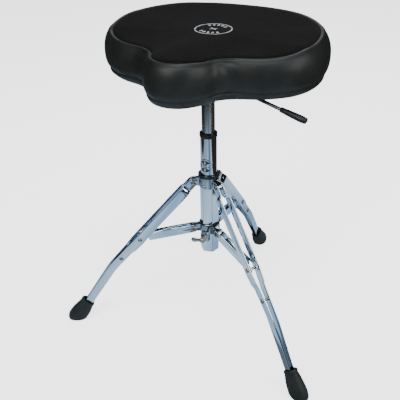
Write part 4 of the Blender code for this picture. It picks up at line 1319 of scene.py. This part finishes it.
# ---------------------------------------------------------------- gas spring, bracket and lever
@dataclass
class Mechanism:
    """The gas spring, the bracket under the seat and the lever."""

    lever_azimuth: float = -36.5
    lever_height: float = 0.5870
    bend: float = 0.0896
    slope: float = math.radians(11.7)
    rod: float = 0.0035
    grip_start: float = 0.1660
    bend_half: float = 0.0160
    boss: Point2 = (0.0062, 0.0080)
    cylinder_sizes: tuple[float, float, float] = (0.0140, 0.0120, 0.0043)   # outside, bore, neck
    # (distance along the grip, half width, half depth)
    grip_sizes: tuple[tuple[float, float, float], ...] = (
        (0.0000, 0.0046, 0.0046), (0.0012, 0.0052, 0.0052), (0.0080, 0.0056, 0.0054),
        (0.0160, 0.0064, 0.0058), (0.0300, 0.0074, 0.0062), (0.0420, 0.0078, 0.0064),
        (0.0490, 0.0076, 0.0062), (0.0496, 0.0068, 0.0056), (0.0510, 0.0068, 0.0056),
        (0.0516, 0.0075, 0.0061), (0.0545, 0.0068, 0.0054), (0.0557, 0.0045, 0.0036),
        (0.0560, 0.0018, 0.0014))
    groove_span: Point2 = (0.010, 0.048)
    groove_depth: float = 0.0006

    def cylinder(self) -> None:
        """Gas spring's cylinder, with a rolled top."""
        low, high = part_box("gas_cylinder")
        outer, bore, neck = self.cylinder_sizes
        profile = [(bore, low.z), (outer - 0.0006, low.z), (outer, low.z + 0.0008), (outer, high.z - 0.0020),
                   (outer - 0.0006, high.z - 0.0006), (outer - 0.0020, high.z), (neck, high.z),
                   (neck, high.z - 0.0060), (bore, high.z - 0.0060)]
        obj = turned("gas_cylinder_satin", profile, turned_frame(0.0), 80, wall=True)
        deliver(obj, "seat", SATIN_STEEL, ["gas_cylinder"])

    def lever_path(self) -> list[Vector]:
        """Middle line of the lever's rod, bent smoothly.

        Returns:
            Its points, in the lever's frame.
        """
        start, end = self.bend - self.bend_half, self.bend + self.bend_half
        fall = math.tan(self.slope)
        corners = [Vector((x, 0, self.lever_height)) for x in (-0.0035, start)]
        for k in range(1, 9):
            share = k / 9
            drop = self.bend_half * fall * share * share
            corners.append(Vector((start + 2 * self.bend_half * share, 0, self.lever_height - drop)))
        for x in (end, self.grip_start + 0.0400):
            corners.append(Vector((x, 0, self.lever_height - (x - self.bend) * fall)))
        return corners

    def lever(self) -> None:
        """Bent rod with a boss on its pin, and the moulded grip on its end."""
        matrix = turned_frame(self.lever_azimuth)
        path = self.lever_path()
        rings = []
        for k, point in enumerate(path):
            before, after = path[max(k - 1, 0)], path[min(k + 1, len(path) - 1)]
            along = (after - before).normalized()
            up = Vector((0, 1, 0)).cross(along)
            rings.append([point + Vector((0, side, 0)) - up * down
                          for side, down in oval(self.rod, self.rod, 28)])
        bar = new_object("bar", loft(rings), matrix)
        place = Matrix.Translation(joint("lever_lift")["pos_m"])
        place = place @ Matrix.Rotation(math.radians(self.lever_azimuth), 4, "Z")
        place = place @ Matrix.Rotation(RIGHT_ANGLE, 4, "X")
        outer, half = self.boss
        edge = 0.0006
        profile = ((0.0028, -half), (outer - edge, -half), (outer, edge - half), (outer, half - edge),
                   (outer - edge, half), (0.0028, half))
        boss = turned("boss", profile, place, 40, wall=True)
        deliver(joined("lever_rod_bent", [bar, boss]), "lever", LEVER_STEEL, ["lever_rod"])
        dress("lever_pin", ZINC)
        self.grip(matrix)

    def grip(self, matrix: Matrix) -> None:
        """Moulded grip: an oval paddle with a groove down each side and a stepped end.

        Args:
            matrix: The lever's frame.
        """
        rings = []
        first, last = self.groove_span
        for along, wide, deep in self.grip_sizes:
            groove = self.groove_depth if first < along < last else 0.0
            ring = []
            for c, s in oval(1.0, 1.0, 48):
                pinch = 1.0 - groove / wide * math.exp(-(s / 0.22) ** 2) * 1.6
                ring.append(Vector((along, deep * s * pinch, wide * c * pinch)))
            rings.append(ring)
        drop = (self.grip_start - self.bend) * math.tan(self.slope)
        place = matrix @ Matrix.Translation((self.grip_start, 0, self.lever_height - drop))
        place = place @ Matrix.Rotation(self.slope, 4, "Y") @ Matrix.Rotation(RIGHT_ANGLE, 4, "X")
        deliver(new_object("lever_grip", loft(rings), place), "lever", PLASTIC, ["lever_handle"])

    def bracket(self) -> None:
        """Pressed bracket and its four bolts with washers."""
        bracket = worked_copy("seat_bracket_pressed", "seat_bracket", 0.0006, 2)
        deliver(bracket, "seat", DARK_STEEL, ["seat_bracket"])
        for k in range(4):
            node = f"bracket_bolt_{k + 1}"
            low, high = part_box(node)
            middle = (low + high) / 2
            under = low.z + 0.0040
            profile = [(0.0, high.z), (0.0028, high.z), (0.0030, high.z - 0.0006), (0.0030, under),
                       (0.0055, under), (0.0055, under - 0.0010), (0.0046, under - 0.0012),
                       (0.0046, under - 0.0026), (0.0036, low.z + 0.0004), (0.0024, low.z),
                       (0.0022, low.z + 0.0016), (0.0, low.z + 0.0018)]
            place = Matrix.Translation((middle.x, middle.y, 0))
            deliver(turned(f"{node}_set", profile, place, 36), "seat", ZINC, [node])

    def build(self) -> None:
        """Make the mechanism's pieces."""
        self.cylinder()
        self.bracket()
        self.lever()
        for node, finish in (("piston_rod", LEVER_STEEL), ("gas_piston", PLASTIC), ("rod_clip", ZINC),
                             ("rod_guide", PLASTIC), ("gas_button", ZINC)):
            dress(node, finish)


# ---------------------------------------------------------------- seat
@dataclass
class Seat:
    """The padded saddle: vinyl side, cloth top, seams, emblem and what shows underneath."""

    shift: Point2 = (0.0045, 0.0020)
    lip: float = 0.6010
    bulge: float = 0.0150
    seam_inset: float = 0.0075
    centre: Point2 = (0.0, -0.0310)
    emblem_height: float = 0.6850
    per_span: int = 14
    puff: float = 0.0050
    fold_shares: Point2 = (0.04, 0.50)   # strength of the folds on either side of the nose
    half_width: float = 0.22
    lean_lift: Point2 = (0.0045, 0.0015)   # how far the rear rises on one side and sinks on the other
    lean_out: float = 0.0060               # how far the rear corner stands out
    stitch_pitch: float = 0.0052
    staple_step: int = 8                   # points of the outline from staple to staple
    staple_inset: float = 0.0215
    voxel: float = 0.0055
    pressure: float = 4.0
    frames: int = 20
    seam_depth: float = 0.0016
    panel_thick: float = 0.0012
    emblem_radius: float = 0.0362
    emblem_threads: int = 232
    leaf_radius: float = 0.0262
    # half of the lip from the nose round to the back: (side, forward)
    half: tuple[Point2, ...] = (
        (0.000, 0.168), (0.028, 0.160), (0.052, 0.135), (0.068, 0.106), (0.095, 0.086),
        (0.145, 0.068), (0.190, 0.034), (0.213, -0.018), (0.213, -0.080), (0.188, -0.143),
        (0.137, -0.193), (0.070, -0.218), (0.000, -0.224))
    # (forward, height of the rim)
    rim_table: tuple[Point2, ...] = (
        (-0.224, 0.6940), (-0.100, 0.6890), (0.000, 0.6830), (0.070, 0.6755), (0.110, 0.6765),
        (0.168, 0.6810))
    # (share of the bulge outwards, share of the height to the rim)
    side: tuple[Point2, ...] = (
        (-0.20, 0.000), (0.14, 0.008), (0.30, 0.035), (0.38, 0.085), (0.36, 0.128), (0.24, 0.152),
        (0.40, 0.172), (0.72, 0.205), (0.94, 0.280), (1.06, 0.400), (1.07, 0.540), (0.98, 0.680),
        (0.78, 0.800), (0.50, 0.893), (0.18, 0.955), (-0.18, 1.000))
    frame: Matrix = field(init=False)
    loop: Ring = field(init=False)
    normals: Ring = field(init=False)
    panel: Optional[bpy.types.Object] = field(default=None, init=False)

    def __post_init__(self) -> None:
        """Work out the outline and its normals."""
        self.frame = turned_frame(SEAT_TURN)
        left = [Vector((-x, y)) for x, y in self.half]
        right = [Vector(point) for point in self.half[-2:0:-1]]
        self.loop = [p + Vector(self.shift) for p in catmull(left + right, self.per_span, closed=True)]
        count = len(self.loop)
        self.normals = []
        for i in range(count):
            along = (self.loop[(i + 1) % count] - self.loop[i - 1]).normalized()
            self.normals.append(Vector((along.y, -along.x)))

    def rim(self, forward: float) -> float:
        """Height of the rim at a place along the seat."""
        return smooth_value(self.rim_table, forward)[0]

    def section(self) -> list[Vector]:
        """Smooth side of the cushion, from the lip up to the seam."""
        return catmull([Vector(row) for row in self.side], 4, closed=False)

    def side_rings(self, step: int = 1) -> list[Ring]:
        """Rings of the side, in the seat's frame.

        Args:
            step: Takes every so many points of the outline.

        Returns:
            The rings from the lip up.
        """
        rings = []
        turn = self.frame.to_3x3()
        for out, up in self.section():
            ring = []
            full = 0.14 + 0.80 * min(1.0, up / 0.28)      # the front has no fold above its lip
            for point, normal in list(zip(self.loop, self.normals))[::step]:
                facing = -(turn @ Vector((*normal, 0.0))).y
                front = min(max((facing - 0.30) / 0.40, 0.0), 1.0) * 0.8
                reach = out + (full - out) * front if up < 0.28 else out
                place = point + normal * (reach * self.bulge)
                height = self.lip + (self.rim(point.y) - self.lip) * up
                ring.append(Vector((place.x, place.y, height)))
            rings.append(ring)
        return rings

    def top_place(self, point: Vector, normal: Vector, share: float) -> Vector:
        """A point of the top.

        Args:
            point: Point of the lip's outline.
            normal: Outward normal there.
            share: 1 at the seam, 0 at the middle.

        Returns:
            The point, in the seat's frame.
        """
        centre = Vector(self.centre)
        border = point + normal * -self.seam_inset
        place = centre + (border - centre) * share
        rise = max(0.0, (share - 0.20) / 0.80)
        height = self.emblem_height + (self.rim(point.y) - self.emblem_height) * rise ** 1.5
        return Vector((place.x, place.y, height + self.saddle(place, share)))

    def saddle(self, place: Vector, share: float) -> float:
        """How far the sat-in shape departs from the plain top.

        Args:
            place: Place in the seat's frame.
            share: 1 at the seam, 0 at the middle.

        Returns:
            The height to add.
        """
        fade = max(0.0, 1.0 - share) ** 0.5 * min(1.0, share * 2.2)
        x, y = abs(place.x - self.shift[0]), place.y
        thigh = math.exp(-((x - 0.105) / 0.050) ** 2 - ((y - 0.020) / 0.070) ** 2)
        ridge = math.exp(-(x / 0.030) ** 2) * smooth_value(((0.0, 0.0), (0.10, 1.0)), y)[0]
        cheek = math.exp(-((x - 0.110) / 0.070) ** 2 - ((y + 0.110) / 0.070) ** 2)
        return fade * (-0.0080 * thigh + 0.0050 * ridge - 0.0050 * cheek)

    def top_rings(self, shares: Sequence[float], step: int = 1) -> list[Ring]:
        """Rings of the top, in the seat's frame.

        Args:
            shares: Each ring's place: 1 at the seam, 0 at the middle.
            step: Takes every so many points of the outline.

        Returns:
            The rings.
        """
        pairs = list(zip(self.loop, self.normals))[::step]
        return [[self.top_place(point, normal, share) for point, normal in pairs] for share in shares]

    def middle(self) -> Ring:
        """The top's middle point, as a pole."""
        return [Vector((*self.centre, self.emblem_height))]

    def blown(self) -> BVHTree:
        """Blow the pad up with a cloth simulation.

        Returns:
            The swollen skin, for finding the nearest point on it.
        """
        rings = self.side_rings(2) + self.top_rings((0.85, 0.60, 0.35, 0.15), 2) + [self.middle()]
        pad = new_object("pad", loft(rings))
        remesh = pad.modifiers.new("voxels", "REMESH")
        remesh.mode = "VOXEL"
        remesh.voxel_size = self.voxel
        settled(pad)
        cloth = pad.modifiers.new("cloth", "CLOTH")
        cloth.settings.effector_weights.gravity = 0.0
        cloth.settings.use_pressure = True
        cloth.settings.uniform_pressure_force = self.pressure
        cloth.settings.quality = 4
        cloth.collision_settings.use_collision = False
        scene = bpy.context.scene
        for number in range(1, self.frames + 1):
            scene.frame_set(number)
        settled(pad)
        scene.frame_set(1)
        tree = BVHTree.FromObject(pad, bpy.context.evaluated_depsgraph_get())
        bpy.data.objects.remove(pad, do_unlink=True)
        return tree

    def lean(self, place: Vector) -> Vector:
        """Lean and fullness of the used pad.

        Args:
            place: Place in the seat's frame.

        Returns:
            How far it moves.
        """
        up = min(max((place.z - 0.625) / 0.060, 0.0), 1.0)
        world = self.frame.to_3x3() @ Vector((place.x, place.y, 0.0))
        across = world.x / self.half_width
        rear = max(0.0, world.y / self.half_width)
        rise, sink = self.lean_lift
        lift = rise * max(0.0, -across) * rear - sink * max(0.0, across) * rear
        out = Vector((place.x, place.y, 0.0)).normalized() * (self.lean_out * max(0.0, -across) * rear)
        return (Vector((0, 0, lift)) + out) * up

    def relax(self, ring: Ring, swollen: BVHTree, weight: float) -> Ring:
        """Move a ring towards the swollen skin.

        Args:
            ring: The ring.
            swollen: The simulated skin.
            weight: How far it may follow, 0 to 1.

        Returns:
            The moved ring.
        """
        relaxed = []
        for point in ring:
            place = swollen.find_nearest(point)[0]
            move = (place - point) * weight
            if move.length > self.puff:
                move *= self.puff / move.length
            moved = point + move
            relaxed.append(moved + self.lean(moved) + self.ripple(moved, weight))
        return relaxed

    def ripple(self, place: Vector, weight: float) -> Vector:
        """Slight unevenness of a sewn cover, strongest on the side.

        Args:
            place: Place in the seat's frame.
            weight: Its strength.

        Returns:
            How far the place moves.
        """
        out = Vector((place.x, place.y, 0.0)).normalized()
        broad = noise.noise(place * 22.0) * 0.0009
        fine = noise.noise(place * 60.0 + Vector((5.0, 1.0, 2.0))) * 0.0003
        pleat = self.pleats(place) * 0.0011
        return out * (broad + fine + pleat) * weight

    def pleats(self, place: Vector) -> float:
        """Soft upright folds where the cover turns the two inner corners beside the nose.

        Args:
            place: Place in the seat's frame.

        Returns:
            Height of the folds there, -1 to 1.
        """
        total = 0.0
        for side, share in ((-1, self.fold_shares[0]), (1, self.fold_shares[1])):
            corner = Vector((side * 0.080 + self.shift[0], 0.098))
            offset = Vector((place.x, place.y)) - corner
            near = math.exp(-(offset.length / 0.024) ** 2)
            total += share * near * math.sin(offset.x * 420.0 + offset.y * 260.0 + place.z * 25.0)
        return total

    def seam_groove(self, rings: list[Ring], index: int) -> None:
        """Sink a ring and its neighbours to make a sewn valley.

        Args:
            rings: All rings.
            index: The ring at the seam.
        """
        for number, share in ((index - 1, 0.35), (index, 1.0), (index + 1, 0.35)):
            for point in rings[number]:
                point.z -= self.seam_depth * share

    def cushion(self) -> tuple[list[Ring], int]:
        """The pad: side, seam, and top under the cloth panel.

        Returns:
            Its rings in the seat's frame and the seam's number.
        """
        shares = [1.0 - 0.012 * k for k in range(5)] + [0.93 - 0.06 * k for k in range(15)]
        side = self.side_rings()
        seam = len(side)
        swollen = self.blown()
        moved = []
        for index, ring in enumerate(side + self.top_rings(shares)):
            if index < seam:
                share = index / (seam - 1)
                weight = 0.0 if share < 0.36 else 0.35 * math.sin(math.pi * (share - 0.36) / 0.64) ** 0.6
            else:
                weight = min(0.05, 0.01 * (index - seam))
            moved.append(self.relax(ring, swollen, weight))
        self.seam_groove(moved, seam)
        return moved, seam

    def underside(self) -> list[Ring]:
        """Cover turned under the board, pleated where it is stapled.

        Returns:
            Its rings in the seat's frame, from the inner edge out to the lip.
        """
        rings = []
        for inset, height in ((0.0245, 0.0006), (0.0200, 0.0002), (0.0120, 0.0000), (0.0060, 0.0000)):
            ring = []
            for k, (point, normal) in enumerate(zip(self.loop, self.normals)):
                place = point - normal * inset
                pleat = 0.0004 * math.sin(k * 0.9) * min(1.0, inset / 0.0200)
                ring.append(Vector((place.x, place.y, self.lip + height + max(0.0, pleat))))
            rings.append(ring)
        return rings

    def covers(self) -> tuple[list[Ring], int]:
        """Vinyl cushion and the cloth panel sewn on it.

        Returns:
            The cushion's rings and the seam's number.
        """
        rings, seam = self.cushion()
        under = self.underside()
        inside = [[Vector((p.x, p.y, self.lip + 0.0016)) for p in under[0]]]
        closed = inside + under + rings + [[Vector((*self.centre, rings[-1][0].z))]]
        pad = new_object("seat_cushion", loft(closed), self.frame)
        deliver(pad, "seat", VINYL, ["side_cover", "seat_foam"])
        self.sew_panel(rings[seam:])
        return rings, seam

    def sew_panel(self, top: list[Ring]) -> None:
        """Cloth panel sewn on the cushion's top.

        Args:
            top: The cushion's rings, from the seam to the middle.
        """
        upper = []
        lower = []
        for index, ring in enumerate(top):
            lift = 0.0016 * smooth_value(((0.0, 0.0), (5.0, 1.0)), float(index))[0]
            inset = 0.0004 if index == 0 else 0.0
            raised = []
            for point in ring:
                inward = (Vector((*self.centre, 0.0)) - Vector((point.x, point.y, 0.0))).normalized()
                raised.append(point + inward * inset + Vector((0, 0, 0.0002 + lift)))
            upper.append(raised)
            lower.append([p - Vector((0, 0, self.panel_thick + 0.6 * lift)) for p in raised])
        peak = sum(p.z for p in upper[-1]) / len(upper[-1])
        poles = [[Vector((*self.centre, height))] for height in (peak - 2 * self.panel_thick, peak)]
        skin = [poles[0], *reversed(lower), *upper, poles[1]]
        self.panel = new_object("seat_top_panel", loft(skin), self.frame)
        deliver(self.panel, "seat", VELOUR, ["top_cover"])

    def stitches(self, rings: list[Ring], seam: int, placer: Placer) -> None:
        """Row of stitches in the vinyl just outside the seam.

        Args:
            rings: The cushion's rings.
            seam: The seam's number.
            placer: The tree that sets repeated items.
        """
        outer, ring = rings[seam - 6:seam - 4]
        turn = self.frame.to_3x3()
        spots = []
        covered = 0.0
        for first, second, beyond in zip(ring, ring[1:] + ring[:1], outer):
            span = (second - first).length
            along = (second - first).normalized()
            up = along.cross((beyond - first).normalized())
            if up.z < 0:
                up = -up
            while covered < span:
                place = first + along * covered + up * 0.0002
                spots.append((self.frame @ place, turn @ up, turn @ along))
                covered += self.stitch_pitch
            covered -= span
        stitches = placer.place("seam_stitches", capsule(0.0040, 0.00042), spots, BLACK_THREAD, 0.08, 11)
        deliver(stitches, "seat", BLACK_THREAD)

    def staples(self, placer: Placer) -> None:
        """Staples that hold the cover and the dust cover to the board.

        Args:
            placer: The tree that sets repeated items.
        """
        turn = self.frame.to_3x3()
        spots = []
        for point, normal in list(zip(self.loop, self.normals))[::self.staple_step]:
            place = point - normal * self.staple_inset
            world = self.frame @ Vector((place.x, place.y, self.lip - 0.0001))
            spots.append((world, Vector((0, 0, -1)), turn @ Vector((-normal.y, normal.x, 0.0))))
        staple = capsule(0.0095, 0.00045, 6, 0.8)
        deliver(placer.place("cover_staples", staple, spots, ZINC, 0.05, 5), "seat", ZINC)

    def top_height(self, x: float, y: float) -> tuple[Vector, Vector]:
        """Find the panel's surface over a place in the seat's frame.

        Args:
            x: Sideways.
            y: Forward.

        Returns:
            The place and the normal there, in the world.
        """
        start = self.frame @ Vector((x, y, 1.0))
        hit, place, normal, _ = self.panel.ray_cast(start, Vector((0, 0, -1)))
        if not hit:
            raise ValueError(f"nothing under {x}, {y}")
        return place, normal

    def emblem(self, placer: Placer) -> None:
        """Embroidered emblem: a satin-stitched ring, two arcs of leaves and crossed sticks.

        Args:
            placer: The tree that sets repeated items.
        """
        spots = self.satin_ring() + self.leaves() + self.sticks()
        thread = capsule(0.0023, 0.00058, 6, 0.55)
        ring = placer.place("emblem_threads", thread, spots, WHITE_THREAD, 0.10, 3)
        deliver(ring, "seat", WHITE_THREAD, ["seat_emblem"])

    def spot(self, x: float, y: float, lean: float) -> Spot:
        """A thread's place on the panel, its normal and its direction.

        Args:
            x: Sideways from the emblem's middle.
            y: Forward from it.
            lean: Azimuth of the thread in the seat's frame.

        Returns:
            The spot, in the world.
        """
        place, normal = self.top_height(self.centre[0] + x, self.centre[1] + y)
        along = (self.frame.to_3x3() @ Vector((math.cos(lean), math.sin(lean), 0.0))).normalized()
        return place + normal * 0.0002, normal, along

    def satin_ring(self) -> list[Spot]:
        """Slanted threads side by side round the ring."""
        radius = self.emblem_radius
        return [self.spot(radius * math.cos(a), radius * math.sin(a), a + math.radians(28))
                for a in turns(self.emblem_threads)]

    def leaves(self) -> list[Spot]:
        """Two arcs of small leaves inside the ring, each of a few threads.

        Returns:
            The threads' spots.
        """
        spots = []
        for middle in [start + 20 * k for start in (50, 230) for k in range(5)]:
            a = math.radians(middle)
            for row in range(-3, 4):
                radius = self.leaf_radius + 0.0011 * row
                for sign in (-1, 1):
                    side = 0.0016 * (1 - abs(row) / 4.5) * sign
                    spots.append(self.spot(radius * math.cos(a) - side * math.sin(a),
                                           radius * math.sin(a) + side * math.cos(a),
                                           a + sign * math.radians(52)))
        return spots

    def sticks(self) -> list[Spot]:
        """Two crossed sticks at the middle."""
        return [self.spot(reach * math.cos(a), reach * math.sin(a), a + math.radians(70))
                for a in (math.radians(35), math.radians(145))
                for reach in (0.0012 * k for k in range(-6, 7))]

    def build(self, placer: Placer) -> None:
        """Make the seat's pieces.

        Args:
            placer: The tree that sets repeated items.
        """
        rings, seam = self.covers()
        self.stitches(rings, seam, placer)
        self.staples(placer)
        self.emblem(placer)
        dress("seat_board", PLYWOOD)
        dress("dust_cover", BLACK_CLOTH)


# ---------------------------------------------------------------- studio
@dataclass
class Studio:
    """Camera, floor, backdrop, lights and the sky that the chrome reflects."""

    lens: float = 54.43
    camera_offset: tuple[float, float, float] = (-0.02067, -1.14837, 1.01256)
    right: tuple[float, float, float] = (0.99974, -0.01188, -0.01966)
    forward: tuple[float, float, float] = (0.0, 0.85581, -0.51729)
    paper: Point2 = (-0.82, 0.64)         # left and right edges of the paper
    paper_fade: Point2 = (-1.45, -0.60)   # where the light on the paper fades towards the front
    # (place across the paper, its colour there); the thin dark band is a stand beside the camera
    paper_tones: tuple[tuple[float, Colour], ...] = (
        (-0.80, (0.34, 0.42, 0.50)), (-0.35, (0.42, 0.62, 0.86)), (-0.15, (0.74, 0.92, 1.10)),
        (-0.02, (0.40, 0.60, 0.84)), (0.070, (0.52, 0.74, 1.00)), (0.090, (0.16, 0.20, 0.24)),
        (0.230, (0.14, 0.18, 0.22)), (0.260, (0.42, 0.62, 0.88)), (0.36, (0.36, 0.54, 0.76)),
        (0.50, (0.62, 0.82, 1.04)), (0.63, (0.82, 0.96, 1.10)))
    paper_glow: float = 1.0
    # (place along y, height, how many times as wide) of the sheet's rows in front of its far edge
    paper_rows: tuple[tuple[float, float, float], ...] = (
        (-3.40, -0.002, 3.0), (-1.15, -0.002, 2.6), (-0.90, -0.002, 1.0), (1.10, -0.002, 1.0),
        (1.25, 0.10, 1.0), (1.30, 0.80, 1.0))
    floor_glow: float = 2.2
    backdrop_glow: float = 3.0
    floor_radius: float = 9.0
    aim: tuple[float, float, float] = (0.05, 0.0, 0.45)
    # (name, place, side of its square, power in watts, colour)
    lamps: tuple[tuple[str, tuple[float, float, float], float, float, Colour], ...] = (
        ("key", (-1.6, -1.8, 2.4), 1.8, 60.0, (1.0, 1.0, 1.0)),
        ("fill", (2.0, -1.2, 1.6), 1.6, 34.0, (0.96, 0.98, 1.0)),
        ("top", (0.1, -0.8, 2.7), 1.5, 32.0, (0.93, 0.97, 1.0)),
        ("back", (0.3, 1.4, 2.4), 1.6, 24.0, (1.0, 1.0, 1.0)))
    # (height in the sky, its colour): brown near the horizon, paler overhead
    sky_tones: tuple[tuple[float, Colour], ...] = (
        (0.0, (0.10, 0.12, 0.14)), (0.22, (0.042, 0.030, 0.022)), (0.50, (0.016, 0.012, 0.010)),
        (0.74, (0.028, 0.024, 0.022)), (0.84, (0.12, 0.13, 0.14)), (0.90, (0.45, 0.50, 0.56)),
        (1.0, (0.70, 0.75, 0.80)))

    def camera(self) -> None:
        """Put the camera in its place."""
        data = bpy.data.cameras.new("camera")
        data.lens = self.lens
        data.sensor_width = 36.0
        camera = bpy.data.objects.new("camera", data)
        bpy.context.scene.collection.objects.link(camera)
        right = Vector(self.right).normalized()
        back = -Vector(self.forward).normalized()
        up = back.cross(right).normalized()
        turn = Matrix((right, up, back)).transposed().to_4x4()
        camera.matrix_world = Matrix.Translation(column_axis() + Vector(self.camera_offset)) @ turn
        bpy.context.scene.camera = camera

    def light(self, name: str, place: tuple[float, float, float], size: float, power: float,
              colour: Colour) -> None:
        """Add a soft light that faces the throne.

        Args:
            name: Its name.
            place: Its place.
            size: Side of its square.
            power: Its power in watts.
            colour: Its colour.
        """
        data = bpy.data.lights.new(name, "AREA")
        data.size = size
        data.energy = power
        data.color = colour
        obj = bpy.data.objects.new(name, data)
        bpy.context.scene.collection.objects.link(obj)
        obj.location = place
        obj.rotation_euler = (Vector(self.aim) - Vector(place)).to_track_quat("-Z", "Y").to_euler()

    def floor(self) -> None:
        """Pale floor and backdrop for the camera, and the paper sweep that the chrome reflects."""
        radius = self.floor_radius
        floor = new_object("floor", loft([circle(radius, 0.0, 64), circle(radius, -0.01, 64)]))
        floor.data.materials.append(self.pale("floor_white", self.floor_glow))
        walls = loft([circle(radius, -0.02, 64), circle(radius, 7.0, 64)], caps=False)
        backdrop = new_object("backdrop", walls)
        backdrop.data.materials.append(self.pale("backdrop_white", self.backdrop_glow))
        sweep = self.sweep()
        for obj in (floor, backdrop):
            obj.visible_glossy = False
        for obj in (backdrop, sweep):
            obj.visible_diffuse = False
            obj.visible_shadow = False
        for obj in (floor, backdrop, sweep):
            obj.visible_transmission = False
        sweep.visible_camera = False

    def sweep(self) -> bpy.types.Object:
        """Sheet of paper under and behind the throne, as its mirrors see it.

        Returns:
            The sheet.
        """
        form = bmesh.new()
        rows = [[form.verts.new((x * wide, y, z)) for x in self.paper] for y, z, wide in self.paper_rows]
        for low, high in zip(rows, rows[1:]):
            form.faces.new((low[0], low[1], high[1], high[0]))
        sheet = new_object("paper_sweep", form)
        material = bpy.data.materials.new("paper")
        material.use_nodes = True
        tree = material.node_tree
        left, right = self.paper
        place = add_node(tree, "ShaderNodeTexCoord", {})
        split = add_node(tree, "ShaderNodeSeparateXYZ", {"Vector": place.outputs["Object"]}).outputs
        share = add_node(tree, "ShaderNodeMapRange", {
            "Value": split["X"], "From Min": left, "From Max": right})
        stops = [((x - left) / (right - left), colour) for x, colour in self.paper_tones]
        near, far = self.paper_fade
        fade = add_node(tree, "ShaderNodeMapRange", {
            "Value": split["Y"], "From Min": near, "From Max": far,
            "To Min": 0.30 * self.paper_glow, "To Max": self.paper_glow})
        feed(tree, tree.nodes["Principled BSDF"], {
            "Base Color": (0.0, 0.0, 0.0, 1.0), "Specular IOR Level": 0.0,
            "Emission Color": colour_ramp(tree, share.outputs["Result"], stops),
            "Emission Strength": fade.outputs["Result"]})
        sheet.data.materials.append(material)
        return sheet

    @staticmethod
    def pale(name: str, glow: float) -> bpy.types.Material:
        """A pale material, with a glow where light doesn't reach it.

        Args:
            name: Its name.
            glow: Strength of the glow.

        Returns:
            The material.
        """
        material = bpy.data.materials.new(name)
        material.use_nodes = True
        feed(material.node_tree, material.node_tree.nodes["Principled BSDF"], {
            "Base Color": (0.93, 0.93, 0.94, 1.0), "Roughness": 0.9,
            "Emission Color": (1.0, 1.0, 1.0, 1.0), "Emission Strength": glow})
        return material

    def sky(self) -> None:
        """The dark room round the sweep."""
        world = bpy.data.worlds.new("studio")
        bpy.context.scene.world = world
        world.use_nodes = True
        tree = world.node_tree
        place = add_node(tree, "ShaderNodeTexCoord", {})
        split = add_node(tree, "ShaderNodeSeparateXYZ", {"Vector": place.outputs["Generated"]})
        share = add_node(tree, "ShaderNodeMapRange", {"Value": split.outputs["Z"], "From Min": -1.0})
        feed(tree, tree.nodes["Background"], {
            "Color": colour_ramp(tree, share.outputs["Result"], self.sky_tones), "Strength": 1.0})

    def build(self) -> None:
        """Set up the studio."""
        self.camera()
        self.floor()
        self.sky()
        for lamp in self.lamps:
            self.light(*lamp)


# ---------------------------------------------------------------- main
def main() -> None:
    """Build every piece."""
    logging.basicConfig(level=logging.INFO, format="%(name)s: %(message)s")
    placer = Placer()
    Column().build()
    Legs().build(placer)
    Collar().build(placer)
    Mechanism().build()
    Seat().build(placer)
    Studio().build()


if __name__ == "__main__":
    main()
